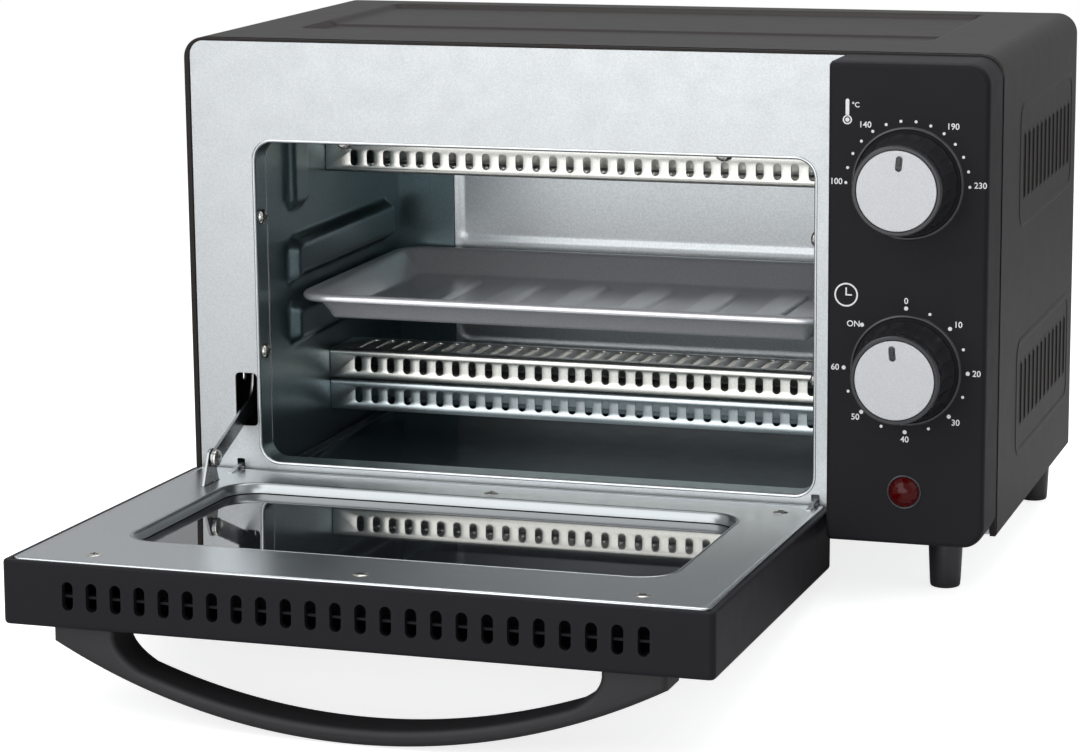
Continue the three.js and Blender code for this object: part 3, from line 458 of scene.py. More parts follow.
def build_front_panel():
    """The face, with the rolled lip and the collar round its opening."""
    x0, z0, x1, z1 = OPENING
    grow = 1.4
    holes = [rounded(x0 - grow, z0 - grow, x1 + grow, z1 + grow, OPENING_RADIUS + grow, 12)]
    holes.append(rounded(*ARM_SLOT, 2, 5))
    holes += [rounded(a, HOOK_SLOT_Z[0], b, HOOK_SLOT_Z[1], 0.6, 3) for a, b in HOOK_SLOTS]
    outline = rounded(2.6, 0.7, 357.4, 198.7, [0.5, 0.5, 6.4, 6.4], 12)
    plate = slab([outline, *holes], 0, 1, FRONTAL, CASE, 0.2, 1)
    put("front_panel_face", [plate], GALVANISED, "case", ["front_panel"])
    rolled = [(-1.5, 0.5), (-1.4, 0.12), (-1.0, -0.08), (-0.5, 0.02), (-0.12, 0.35), (0, 0.9)]
    rolled += [(-0.8, 1.2), (-1.4, 1.0)]
    collar = [(0, 0.95), (0, 12), (-0.8, 12), (-0.8, 0.95)]
    for name, path, material in (("lip", rolled, BRIGHT), ("collar", collar, LINER)):
        rings = []
        for inset, y in path:
            radius = OPENING_RADIUS - inset
            loop = rounded(x0 + inset, z0 + inset, x1 - inset, z1 - inset, radius, 12)
            rings.append([(x, y, z) for x, z in loop])
        part = loft(rings, CASE, (False, False), closed=True)
        put(f"opening_{name}", [part], material, "case", (), 45, flat=False)


def build_control_panel():
    """The control box, round along its front edges and at its outer corners."""
    x0, x1, z0, z1 = 294.2, 360, 0.9, 199.2
    rings = []
    path = [(2.2, PANEL_Y), (1.5, -27.93), (0.9, -27.6), (0.4, -27.0), (0.1, -26.1), (0, -25)]
    for inset, y in path + [(0, -0.8)]:
        radii = [max(r - inset * 0.6, 0.5) for r in (2.4, 9, 9, 2.4)]
        loop = rounded(x0 + inset, z0 + inset, x1 - inset, z1 - inset, radii, 10)
        rings.append([(x, y, z) for x, z in loop])
    box = loft(rings, CASE)
    put("control_box", [box], BLACK, "case", ["control_panel"], 50)


def build_feet():
    feet = {"front_left": (22.7, 10), "front_right": (337.3, 10)}
    feet.update({"rear_left": (14, 176), "rear_right": (346, 176)})
    profile = [(0, SOLE_Z), (5.5, SOLE_Z), (6.0, -24.8), (6.3, -24.2), (6.5, -22)]
    profile += [(7.5, -0.3), (0, -0.3)]
    for corner, (x, y) in feet.items():
        part = lathe(profile, (x, y, 0), "Z", CASE, 48)
        name = f"foot_{corner}"
        put(f"{name}_fine", [part], KNOB_BLACK, "case", [name], 40)


# ---- Cavity -------------------------------------------------------------------------------
WALL, WALL_STEP = 30.9, 1.4
CAVITY_MIDDLE = 157
CAVITY_BACK, CAVITY_TOP = 182.7, 172.7
CAVITY_FLOOR, FLANGE_EDGE = 1.4, 59.5
LAP_FRONT, LAP_BACK = 12.5, 13.4


def wall_height(y, z):
    """How far the left wall is pressed towards the inside."""
    slant = 3.5 * ramp(y, 46, 36)
    upper = 5.2 * ramp(inside(y, z + slant, 36, 86.5, 166, 107.5, 5.5), 0.2, 4.4)
    lower = 5.2 * ramp(inside(y, z, 36, 57, 166, 78, 5.5), 0.2, 4.4)
    rib = 3.5 * ramp(inside(y, z, 37, 118, 61, 164.5, 6), 0.2, 4.6)
    return max(upper, lower, rib)


def build_walls():
    """The side walls: a pressed sheet, a flange at the back, a lap, and in front a bead of bright
    steel that is a painted highlight along the liner's edge.
    """
    ys, zs = spaced(1.5, CAVITY_BACK, WALL_STEP), spaced(CAVITY_FLOOR, CAVITY_TOP, WALL_STEP)
    ys_used = [y for y in ys if y > 9]
    mirror = Matrix.Translation((2 * CAVITY_MIDDLE, 0, 0)) @ Matrix.Scale(-1, 4, (1, 0, 0))
    for name, matrix in (("left", CASE), ("right", CASE @ mirror)):
        wall = grid(ys_used, zs, lambda u, v: WALL + wall_height(u, v), SIDEWAYS, matrix, 0.9)
        inner = WALL - 0.5
        flange = block((inner, CAVITY_BACK - 1, CAVITY_FLOOR),
                       (FLANGE_EDGE, CAVITY_BACK, CAVITY_TOP), matrix, 0.2)
        lap = block((inner, LAP_FRONT, CAVITY_FLOOR),
                    (WALL + 0.25, LAP_BACK, CAVITY_TOP), matrix, 0.1)
        # The liner's front edge takes the bright lip steel, far lighter than the liner: a painted
        # highlight line.
        profile = [(0, 14), (0.9, 14.5), (0.9, 152.5), (0, 153)]
        edge = lathe(profile, (WALL + 0.4, LAP_FRONT + 0.4, 0), "Z", matrix, 16)
        put(f"liner_edge_highlight_{name}", [edge], BRIGHT, "case", (), 50, flat=False)
        put(f"liner_{name}", [wall, flange, lap], LINER, "case",
            [f"cavity_{name}_wall"], 60, flat=False)


def build_ceiling_and_base():
    low = OPENING[3] + 1.1
    sheets = [block((30.2, 1.5, CAVITY_TOP + 0.3), (283.8, CAVITY_BACK, CAVITY_TOP + 1.3), CASE)]
    sheets.append(block((31.2, 13, low), (282.8, 14, CAVITY_TOP + 0.6), CASE, 0.2))
    sheets.append(block((38, 1.4, low), (276, 14, low + 1), CASE, 0.2))
    put("liner_top", sheets, LINER, "case", ["cavity_ceiling"])
    base = [block((1.3, 3.8, 0), (358.7, 187.7, 1), CASE, 0.3)]
    for x in (1.3, 357.7):
        base.append(block((x, 4.5, 0.2), (x + 1, 181.7, 11), CASE, 0.2))
    put("base", base, BACK_STEEL, "case", ["base_plate"])


BACK_LOW, BACK_HIGH, BACK_STEP_Z = (60.5, 35.5), (253.5, 165), 84
BACK_Y, BACK_SHEET = 183.8, 0.8
REAR_VENTS, REAR_VENT_X = [112 + 10 * i for i in range(7)], (302, 346)
CORD_HOLE = (330, 30)


def back_height(x, z):
    """The back's pressed field, which is deeper above a step across it."""
    outer = ramp(inside(x, z, *BACK_LOW, *BACK_HIGH, 6), -0.6, 1.6)
    deeper = ramp(inside(x, z, BACK_LOW[0], BACK_STEP_Z, *BACK_HIGH, 6), 0.8, 3.0)
    return 0.5 * outer + 0.6 * deeper


def build_rear():
    margin = 2
    x0, z0 = [low - margin for low in BACK_LOW]
    x1, z1 = [high + margin for high in BACK_HIGH]
    vents = [rounded(REAR_VENT_X[0], z, REAR_VENT_X[1], z + 3.4, 1.7, 4) for z in REAR_VENTS]
    outline = rounded(1.3, 1.3, 358.7, 198.7, [0.5, 0.5, 7.5, 7.5], 10)
    window = rounded(x0, z0, x1, z1, 0)
    holes = [window, *vents, circle(*CORD_HOLE, 8)]
    plate = slab([outline, *holes], BACK_Y - BACK_SHEET, BACK_Y, FRONTAL, CASE, 0.0)
    us, vs = spaced(x0, x1, 1.6), spaced(z0, z1, 1.2)
    pressed = grid(us, vs, lambda u, v: BACK_Y + back_height(u, v), FRONTAL, CASE, BACK_SHEET)
    put("rear_sheet", [plate, pressed], BACK_STEEL, "case", ["rear_panel"], 30,
        flat=False)
    profile = [(3.6, -8), (7.5, -8), (7.5, 0), (10.6, 0), (11, 0.5), (10.4, 2.2), (9.2, 3.0)]
    profile += [(5.8, 3.6), (4.2, 3.6), (3.6, 3.2), (3.6, -8)]
    x, z = CORD_HOLE
    gland = lathe(profile, (x, BACK_Y + 0.3, z), "Y", CASE, 48)
    put("gland", [gland], BLACK, "case", ["cord_gland"], 40)


GUARD_X = [CAVITY_MIDDLE + 8.0 * (i - 14) for i in range(29)]
GUARD_FRONT, GUARD_BACK, GUARD_SHEET = 86, 118, 0.8
GUARD_LOW_X, GUARD_HIGH_X = WALL + 0.3, 2 * CAVITY_MIDDLE - WALL - 0.3
HEATER_Y = (GUARD_FRONT + GUARD_BACK) / 2


def bend(y, z, radius, start, matrix):
    """A quarter-round fold running along x, its centre at (y, z), beginning at an angle."""
    outer, inner = [], []
    for i in range(9):
        a = start + 0.5 * math.pi * i / 8
        outer.append((y + radius * math.cos(a), z + radius * math.sin(a)))
        r = radius - GUARD_SHEET
        inner.append((y + r * math.cos(a), z + r * math.sin(a)))
    loop = outer + inner[::-1]
    rings = [[(x, p, q) for p, q in loop] for x in (GUARD_LOW_X, GUARD_HIGH_X)]
    return loft(rings, matrix)


def build_guard(name, web, edge, material, node_name):
    """A channel across the cavity with its flat side at z = web and its free edges at z = edge."""
    x0, x1 = GUARD_LOW_X, GUARD_HIGH_X
    up = 1 if edge > web else -1
    r = 1.7
    low, high = sorted((web + up * r, edge))
    middle = (web + edge) / 2
    slots = [capsule(x, middle, 3.5, 7.4) for x in GUARD_X]
    front = [rounded(x0, low, x1, high, 0), *slots]
    parts = [slab(front, GUARD_FRONT, GUARD_FRONT + GUARD_SHEET, FRONTAL, CASE, 0.12, 1)]
    parts.append(slab(front[:1], GUARD_BACK - GUARD_SHEET, GUARD_BACK, FRONTAL, CASE, 0.12, 1))
    flat_low, flat_high = sorted((web, web + up * GUARD_SHEET))
    web_slots = [capsule(x, HEATER_Y, 3.5, 20) for x in GUARD_X]
    flat = [rounded(x0, GUARD_FRONT + r, x1, GUARD_BACK - r, 0), *web_slots]
    parts.append(slab(flat, flat_low, flat_high, UPRIGHT, CASE, 0.1, 1))
    start = math.pi if up > 0 else 0.5 * math.pi
    parts.append(bend(GUARD_FRONT + r, web + up * r, r, start, CASE))
    start = 1.5 * math.pi if up > 0 else 0.0
    parts.append(bend(GUARD_BACK - r, web + up * r, r, start, CASE))
    put(name, parts, material, "case", [node_name], 30, flat=False)


def build_heaters():
    build_guard("guard_top", 130.4, 144, GUARD_STEEL, "upper_guard")
    build_guard("guard_middle", 47.2, 33.8, GUARD_STEEL, "lower_guard_cover")
    build_guard("guard_bottom", 32.9, 18.9, GUARD_BASE, "lower_guard_base")
    rod = [(0, 16.9), (1.5, 16.9), (1.5, 22.9), (4, 22.9), (4, 291.1), (1.5, 291.1)]
    rod += [(1.5, 297.1), (0, 297.1)]
    bush = [(4.3, -6), (7.2, -6), (7.2, -1.4), (5, -1.4), (5, 3), (4.3, 3), (4.3, -6)]
    for level, z in (("upper", 143), ("lower", 33.3)):
        place = (0, HEATER_Y, z)
        put(f"heater_{level}", [lathe(rod, place, "X", CASE, 32)], ROD, "case",
            [f"{level}_heater_rod"], 40)
        for side, sign, at in (("left", 1, WALL), ("right", -1, 2 * CAVITY_MIDDLE - WALL)):
            profile = [(r, at + sign * h) for r, h in bush]
            put(f"insulator_{level}_{side}", [lathe(profile, place, "X", CASE, 32)], CERAMIC,
                "case", [f"{level}_insulator_{side}"], 40)


TRAY_AREA = (33, 37, 281, 181)
TRAY_RADIUS, TRAY_FLOOR, TRAY_SHEET = 16, 68.6, 0.8
TRAY_RIBS = [CAVITY_MIDDLE + 32 * (i - 2.5) for i in range(6)]
CRUMB_AREA = (32, 13.2, 282, 181)


def area_ring(area, radius, inset, z, steps=14):
    """A level ring that lies an inset within an area's outline."""
    x0, y0, x1, y1 = area
    loop = rounded(x0 + inset, y0 + inset, x1 - inset, y1 - inset, max(radius - inset, 1), steps)
    return [(x, y, z) for x, y in loop]


def build_tray():
    """The tray's one skin runs up inside, over the rolled rim and down outside, then its ribs."""
    path = [(16.0, TRAY_FLOOR + TRAY_SHEET), (14.4, 69.7), (13.2, 70.7), (12.4, 72.4), (6.6, 79.3)]
    path += [(5.6, 80.6), (4.4, 81.3), (3.2, 81.5), (2.0, 81.5), (1.0, 81.2), (0.3, 80.5)]
    path += [(0.0, 79.6), (0.2, 78.7), (0.9, 78.0), (1.8, 77.8), (2.6, 78.2), (2.9, 79.0)]
    path += [(2.9, 79.9), (4.8, 79.9), (6.0, 78.9), (11.8, 72.0), (12.6, 70.2), (14.0, 68.9)]
    path += [(16.0, TRAY_FLOOR)]
    rings = [area_ring(TRAY_AREA, TRAY_RADIUS, inset, z) for inset, z in path]
    parts = [loft(rings, CASE, (True, True))]
    rib = ((0, -0.2), (0.3, 0.1), (0.9, 0.8), (1.6, 1.45), (2.4, 1.65), (3.6, 1.7))
    for x in TRAY_RIBS:
        dome = []
        for inset, rise in rib:
            loop = capsule(x, 108, 16 - 2 * inset, 98 - 2 * inset, 10)
            dome.append([(px, py, TRAY_FLOOR + TRAY_SHEET + rise) for px, py in loop])
        parts.append(loft(dome, CASE, (False, True)))
    put("tray_fine", parts, TRAY, "tray", ["baking_tray"], 60, flat=True)


def build_crumb_tray():
    path = [(2.0, 2.2), (1.4, 2.4), (0.9, 3.0), (0.85, 5.3), (0.6, 5.6), (0.2, 5.6), (0, 5.3)]
    path += [(0, 2.2), (0.3, 1.6), (1.2, 1.4)]
    part = loft([area_ring(CRUMB_AREA, 5, inset, z, 8) for inset, z in path], CASE)
    put("crumb_tray_fine", [part], CRUMB, "crumbs", ["crumb_tray"], 40)


# ---- Screws -------------------------------------------------------------------------------
def screw(name, matrix, radius, height, body, node_name):
    """A round head with its cross recess painted as shade by two dark bars; the matrix takes z to
    the head's outward direction.
    """
    dome = [(0, -0.3), (radius, -0.3), (radius, height * 0.25), (radius * 0.86, height * 0.66)]
    dome += [(radius * 0.55, height * 0.92), (radius * 0.2, height)]
    parts = [lathe(dome, (0, 0, 0), "Z", matrix, 32)]
    put(f"{name}_head", parts, SCREW, body, [node_name], 50)
    # The recess is not cut: two flat dark bars laid on the dome are painted shade in its place.
    arm, half = radius * 0.5, radius * 0.1
    bars = [block((-arm, -half, height * 0.6), (arm, half, height + 0.05), matrix)]
    bars.append(block((-half, -arm, height * 0.6), (half, arm, height + 0.05), matrix))
    put(f"{name}_cross", bars, CROSS_SHADE, body)


def build_screws():
    spots = [(f"{side}_{level}", (x, 6, z), sign)
             for side, x, sign in (("left", 32.2, 1), ("right", 281.8, -1))
             for level, z in (("upper", 121), ("lower", 61))]
    spots += [(f"top_{side}", (x, 6, 154.5), 0) for side, x in (("left", 72), ("right", 242))]
    for name, place, sign in spots:
        turn = Matrix.Rotation(math.pi, 4, "X")
        if sign:
            turn = Matrix.Rotation(sign * math.pi / 2, 4, "Y")
        matrix = CASE @ Matrix.Translation(place) @ turn @ Matrix.Rotation(0.4, 4, "Z")
        screw(f"lining_{name}", matrix, 3.4, 2.0, "case", f"screw_{name}")
    places = [(32.5, 172.5), (145.5, 172.5), (258.5, 172.5), (145.5, 16.5), (273, 16.5)]
    for i, (x, z) in enumerate(places):
        turn = Matrix.Rotation(-math.pi / 2, 4, "X") @ Matrix.Rotation(0.3 + 0.5 * i, 4, "Z")
        matrix = DOOR @ Matrix.Translation((x, -0.05, z)) @ turn
        screw(f"plate_{i + 1}", matrix, 3.2, 0.55, "door", f"door_screw_{i + 1}")


# ---- Controls -----------------------------------------------------------------------------
FLUTES = 20
KNOB_FACE, KNOB_FOOT = PANEL_Y - 22, PANEL_Y - 0.5
SMALL_DOT, LARGE_DOT, LABEL = 0.62, 0.85, 3.5
CLOCK, THERMOMETER = (302.3, 104.1), (302.2, 175.6)
LAMP_Z, LAMP_SIDES = 23.3, 14


def fluted(angle, radius, height):
    """The skirt's long shallow flats, fading towards the front rim and the foot."""
    weight = ramp(height, KNOB_FACE + 2.2, KNOB_FACE + 3.2)
    weight *= ramp(height, KNOB_FOOT - 0.7, KNOB_FOOT - 2.0)
    step = 2 * math.pi / FLUTES
    off = (angle % step) - step / 2
    flat = math.cos(step / 2) / math.cos(off)
    return radius * (1 - weight * (1 - flat) * 1.5 - weight * 0.012 * (abs(off) < step * 0.46))


def build_knob(name, z, turn):
    """The fluted skirt, the silver cap with its mark, and the collar on the control box."""
    face = KNOB_FACE
    profile = [(3, face + 1.5), (16.4, face + 1.5), (16.4, face + 0.3), (16.7, face), (17.7, face)]
    profile += [(18.1, face + 0.25), (18.3, face + 0.9), (18.4, face + 2.2), (18.45, face + 3.2)]
    profile += [(18.6, face + 8), (18.85, face + 13), (19.2, face + 16), (19.9, face + 18.6)]
    profile += [(20.4, face + 20.0), (20.5, face + 21), (20.4, KNOB_FOOT), (17, KNOB_FOOT)]
    profile += [(3, KNOB_FOOT)]
    place = (KNOB_X, 0, z)
    part = lathe(profile, place, "Y", CASE, 8 * FLUTES, fluted)
    put(f"{name}_knob_fine", [part], KNOB_BLACK, name, [f"{name}_knob"], 32,
        flat=False)
    spun = CASE @ (Matrix.Translation(place) @ Matrix.Rotation(turn, 4, "Y"))
    mark = capsule(0, 10.9, 2.6, 6.2, 8)
    plate = slab([circle(0, 0, 16.2, 96), mark], face, face + 1.1, FRONTAL, spun, 0.22, 3)
    put(f"{name}_cap", [plate], CAP, name, [f"{name}_knob_cap"])
    mark = capsule(0, 10.9, 2.7, 6.3, 8)
    seat = slab([mark], face + 0.75, face + 1.0, FRONTAL, spun, 0.05, 1)
    ridge = slab([capsule(0, 11.6, 1.1, 3.4, 6)], face + 0.3, face + 0.9, FRONTAL, spun, 0.2, 2)
    put(f"{name}_mark", [seat, ridge], KNOB_BLACK, name)
    ring = [(21.6, 0.2), (21.7, -0.5), (22.2, -0.75), (22.9, -0.5), (23.2, 0.2)]
    ring = [(r, PANEL_Y + rise) for r, rise in ring]
    collar = lathe(ring, place, "Y", CASE, 96, capped=False)
    put(f"{name}_collar", [collar], KNOB_BLACK, "case", (), 60, flat=False)


def printed(text, x, z, size):
    """Raised print on the control box, centred at (x, z)."""
    curve = bpy.data.curves.new("print", "FONT")
    curve.body = text
    curve.size = size
    curve.align_x = "CENTER"
    curve.align_y = "CENTER"
    curve.extrude = 0.03
    curve.offset = 0.045
    curve.resolution_u = 4
    verts, faces = taken(curve, x, z, PANEL_Y - 0.04)
    return verts, faces, CASE @ FRONTAL


def flat_print(loops):
    return slab(loops, PANEL_Y - 0.07, PANEL_Y + 0.02, FRONTAL, CASE, 0.0)


def dial_dot(z, ring, degrees, radius):
    a = math.radians(degrees)
    return flat_print([circle(KNOB_X + ring * math.cos(a), z + ring * math.sin(a), radius, 16)])


def build_print():
    """Dots and numbers round both dials, a clock and a thermometer."""
    parts = [dial_dot(THERMOSTAT_Z, 25.3, 180.8 - 14 * i, SMALL_DOT) for i in range(14)]
    for i in [0, *range(2, 15)]:
        radius = SMALL_DOT if i % 2 else LARGE_DOT
        parts.append(dial_dot(TIMER_Z, 25.6, 135 - 22.5 * i, radius))
    labels = [("100", -29.3, 0.0), ("140", -17.6, 23.3), ("190", 18.2, 23.5), ("230", 29.6, 0.1)]
    parts += [printed(text, KNOB_X + x, THERMOSTAT_Z + z, LABEL) for text, x, z in labels]
    labels = [("0", 0, 28.6), ("10", 21.4, 19.8), ("20", 29.2, 0), ("30", 20.9, -20.6)]
    labels += [("40", 0, -28.7), ("50", -20.6, -20.4), ("60", -29.2, 0), ("ON", -21.7, 18.3)]
    parts += [printed(text, KNOB_X + x, TIMER_Z + z, LABEL) for text, x, z in labels]
    x, z = CLOCK
    parts.append(flat_print([circle(x, z, 4.9, 40), circle(x, z, 4.25, 40)]))
    parts.append(flat_print([rounded(x - 0.3, z - 0.3, x + 0.3, z + 3.0, 0.1, 2)]))
    parts.append(flat_print([rounded(x + 0.3, z - 0.3, x + 2.4, z + 0.3, 0.1, 2)]))
    x, z = THERMOMETER
    parts.append(flat_print([circle(x, z, 1.9, 28), circle(x, z, 1.35, 28)]))
    parts.append(flat_print([circle(x, z, 0.85, 20)]))
    parts.append(flat_print([capsule(x, z + 5.0, 1.5, 7.0)]))
    parts.append(printed("°C", x + 3.4, z + 6.0, 2.9))
    put("dial_print", parts, PRINT, "case", (), 60, flat=False)


def build_lamp():
    """A faceted lens on a short stem, in a black rim."""
    z, sides = LAMP_Z, LAMP_SIDES
    rings = []
    for i, (r, y) in enumerate(((6.1, -28.2), (4.4, -30.0), (2.4, -31.2), (0.5, -31.7))):
        shift = 0.5 * (i % 2)
        turn = [2 * math.pi * (k + shift) / sides for k in range(sides)]
        rings.append([(KNOB_X + r * math.cos(a), y, z + r * math.sin(a)) for a in turn])
    verts = [p for ring in rings for p in ring]
    faces = []
    for r in range(3):
        for i in range(sides):
            a, b = r * sides + i, r * sides + (i + 1) % sides
            c, d = a + sides, b + sides
            faces += [[a, b, c], [b, d, c]] if r % 2 == 0 else [[a, b, d], [a, d, c]]
    faces.append([3 * sides + i for i in range(sides)])
    profile = [(6.1, -28.2), (6.1, -27.6), (5.6, -27), (5.6, -24)]
    stem = lathe(profile, (KNOB_X, 0, z), "Y", CASE, 48)
    put("lamp_fine", [(verts, faces, CASE), stem], LAMP, "case", ["lamp_lens"], 5,
        flat=False)
    profile = [(6.15, -27.8), (6.3, -28.5), (6.8, -28.7), (7.2, -28.4), (7.3, -27.8)]
    rim = lathe(profile, (KNOB_X, 0, z), "Y", CASE, 64, capped=False)
    put("lamp_rim", [rim], KNOB_BLACK, "case", (), 60, flat=False)


# ---- Door ---------------------------------------------------------------------------------
DOOR_WIDTH, DOOR_HEIGHT, DOOR_THICK = 291, 189.2, 26.6
WINDOW, WINDOW_RADIUS = (31.2, 26.8, 259.8, 144), 15
VENTS, VENT_PLACE, VENT_SIZE = [28.5 + 10.226 * i for i in range(24)], -13.4, (4.7, 11.6)
PIVOT_Y, PIVOT_Z, ARM_TILT = 10.73, 31.2, math.radians(20.5)


def window_loop(grow, steps=12):
    """The window's outline, grown by a margin all round."""
    x0, z0, x1, z1 = WINDOW
    return rounded(x0 - grow, z0 - grow, x1 + grow, z1 + grow, WINDOW_RADIUS + grow, steps)


def build_door_frame():
    """The moulded walls with their vents, the face, the glass's seat and a bar behind the vents."""
    path = [(4.0, -26.6), (1.6, -26.6), (0.9, -26.45), (0.35, -26.0), (0.05, -25.3), (0, -24.5)]
    path += [(0, -1.6), (0.2, -0.9), (0.8, -0.45), (1.6, -0.4), (2.6, -0.4), (3.0, -0.8)]
    rings = []
    for inset, y in path + [(3.0, -24.2), (4.0, -24.2)]:
        radius = max(2.8 - inset, 0.4)
        loop = rounded(inset, inset, DOOR_WIDTH - inset, DOOR_HEIGHT - inset, radius, 6)
        rings.append([(x, y, z) for x, z in loop])
    walls = loft(rings, DOOR, (False, False), closed=True)
    openings = []
    for x in VENTS:
        loop = capsule(x, VENT_PLACE, *VENT_SIZE, 6)
        openings.append(loft([[(px, py, z) for px, py in loop] for z in (184, 192)], DOOR))
    body = carved(walls, openings)
    outline = rounded(3.9, 3.9, DOOR_WIDTH - 3.9, DOOR_HEIGHT - 3.9, 0)
    face = slab([outline, window_loop(2)], -DOOR_THICK, -24.2, FRONTAL, DOOR, 0.0)
    seat = slab([window_loop(5), window_loop(2)], -25.4, -8.7, FRONTAL, DOOR, 0.2, 1)
    bar = block((18, -14.4, 180.5), (273, -13.4, 186.5), DOOR)
    put("door_frame_fine", [body, face, seat, bar], BLACK, "door",
        ["door_frame"], 32)


def build_inner_plate():
    """The steel sheet, the rolled edges of its window and its outline, and the hinge hooks."""
    outline = rounded(3.3, 0.4, DOOR_WIDTH - 3.3, DOOR_HEIGHT - 3.9, 1.6, 5)
    slit = rounded(20.7, 24.2, 22.9, 41.5, 0.4, 2)
    plate = slab([outline, window_loop(1.6), slit], -1, 0, FRONTAL, DOOR, 0.25, 2)
    put("door_plate_face", [plate], PLATE, "door", ["door_inner_plate"])
    path = [(1.7, -0.3), (1.5, 0.0), (1.1, 0.12), (0.7, 0.05), (0.3, -0.25), (-0.4, -1.4)]
    path += [(-0.9, -3.4), (-1.0, -4.1), (-0.4, -4.1), (1.6, -1.0)]
    rings = [[(x, y, z) for x, z in window_loop(grow)] for grow, y in path]
    lip = loft(rings, DOOR, (False, False), closed=True)
    path = [(-2.4, -0.3), (-2.2, 0.02), (-1.2, 0.12), (-0.4, 0.0), (0.0, -0.45), (0.0, -1.3)]
    edge = []
    for grow, y in path + [(-2.2, -1.3)]:
        x1, z1 = DOOR_WIDTH - 3.1 + grow, DOOR_HEIGHT - 3.4 + grow
        loop = rounded(3.1 - grow, 0.3 - grow, x1, z1, 3.2, 6)
        edge.append([(x, y, z) for x, z in loop])
    rolled = loft(edge, DOOR, (False, False), closed=True)
    put("door_plate_window_edge", [lip], EDGE, "door", (), 50, flat=False)
    put("door_plate_outer_edge", [rolled], BRIGHT, "door", (), 50, flat=False)
    path = [(-11.0, 0.4), (-10.6, 1.9), (-5.8, 2.3), (-3.8, 3.5), (3.2, 3.7), (4.9, 2.6), (5, 0.4)]
    path += [(3.7, 0.4), (3.7, 2.0), (2.8, 2.5), (-3.0, 2.5), (-4.6, 0.4)]
    hook = [(-1.6 + up, 0.4 - forward) for forward, up in path]
    hooks = [slab([hook], a, b, SIDEWAYS, DOOR, 0.18, 1) for a, b in HOOKS]
    put("hinge_hooks", hooks, GALVANISED, "door")


def build_glass():
    pane = slab([window_loop(6)], -8.4, -4.4, FRONTAL, DOOR, 0.3, 1)
    put("glass_fine", [pane], GLASS, "door", ["door_glass"])


def arc(middle, apex, radius, x_from, x_to, count):
    """Points of a bow whose lowest point is at y = -apex."""
    points = []
    for i in range(count + 1):
        x = x_from + (x_to - x_from) * i / count
        points.append((x, -apex + radius - math.sqrt(radius ** 2 - (x - middle) ** 2)))
    return points


def curve_between(a, control, b, count):
    """Points of a bend from a to b that leans towards a control point; a itself is left out."""
    points = []
    for i in range(1, count + 1):
        t = i / count
        points.append(tuple((1 - t) ** 2 * p + 2 * t * (1 - t) * q + t * t * r
                            for p, q, r in zip(a, control, b)))
    return points


def build_handle():
    """The bow: a wide arc outside, a narrower one inside, and a rounded root at each end."""
    x0, x1 = 19.7, 271.3
    middle = (x0 + x1) / 2
    inner0, inner1 = x0 + 25.8, x1 - 25.8
    root = -DOOR_THICK + 2.5
    outer = arc(middle, 64.9, 266, x0, x1, 60)
    inner = arc(middle, 58.2, 262, inner1 - 11, inner0 + 11, 48)
    loop = [(x0, root), *outer, (x1, root), (inner1, root), (inner1, -30)]
    loop += curve_between((inner1, -30), (inner1 - 0.6, -36.5), inner[0], 8)
    loop += inner[1:]
    loop += curve_between(inner[-1], (inner0 + 0.6, -36.5), (inner0, -30), 8)
    loop += [(inner0, root)]
    bar = slab([loop], 165, 185, UPRIGHT, DOOR, 2.6, 5)
    put("handle_fine", [bar], HANDLE_BLACK, "door", ["door_handle"], 40,
        flat=False)


def half_round(centre, radius, start):
    """Seven points inside a half circle that begins at an angle."""
    turn = [start + math.pi * i / 8 for i in range(1, 8)]
    return [(centre[0] + radius * math.cos(a), centre[1] + radius * math.sin(a)) for a in turn]


def arm_outline():
    """The lever: a straight strip from the rivet's eye, a bend, and a short tail."""
    half, straight, radius, turn = 3.75, 42, 12, math.radians(60)
    line = [(0, 0, 0), (straight, 0, 0)]
    for i in range(1, 13):
        a = turn * i / 12
        line.append((straight + radius * math.sin(a), radius * (1 - math.cos(a)), a))
    s, n, _ = line[-1]
    line.append((s + 22 * math.cos(turn), n + 22 * math.sin(turn), turn))
    lower = [(s + half * math.sin(a), n - half * math.cos(a)) for s, n, a in line]
    upper = [(s - half * math.sin(a), n + half * math.cos(a)) for s, n, a in line]
    tip = half_round(line[-1][:2], half, turn - math.pi / 2)
    return lower + tip + upper[::-1] + half_round((0, 0), half, math.pi / 2)


def build_lever():
    ear = [math.radians(-40 + 10 * i) for i in range(10)]
    outline = [(-5, 24.5), (0.4, 24.5), (4, 26.0), (13.4, 28.0)]
    outline += [(PIVOT_Y + 4.4 * math.cos(a), PIVOT_Z + 4.4 * math.sin(a)) for a in ear]
    outline += [(0.4, 40.6), (0, 41), (-5, 41)]
    plate = slab([outline], 21.2, 22.4, SIDEWAYS, DOOR, 0.2, 1)
    put("bracket_fine", [plate], LEVER, "door", ["door_bracket"])
    rivet = [(0, 20.2), (2.2, 20.3), (2.8, 20.7), (2.9, 21.1), (1.6, 21.2), (1.6, 24.3)]
    rivet += [(3.9, 24.3), (3.8, 24.9), (2.9, 25.5), (1.5, 25.8), (0, 25.85)]
    part = lathe(rivet, (0, PIVOT_Y, PIVOT_Z), "X", DOOR, 32)
    put("rivet_fine", [part], SCREW, "door", ["arm_rivet"], 40, flat=False)
    pivot = DOOR @ Vector((0, PIVOT_Y, PIVOT_Z))
    matrix = Matrix.Translation(Vector((shell_low.x, pivot.y, pivot.z))) @ Matrix.Scale(MM, 4)
    matrix = matrix @ Matrix.Rotation(ARM_TILT, 4, "X")
    strip = slab([arm_outline()], 22.7, 24.1, SIDEWAYS, matrix, 0.25, 1)
    put("arm_fine", [strip], LEVER, "lever", ["door_arm"])


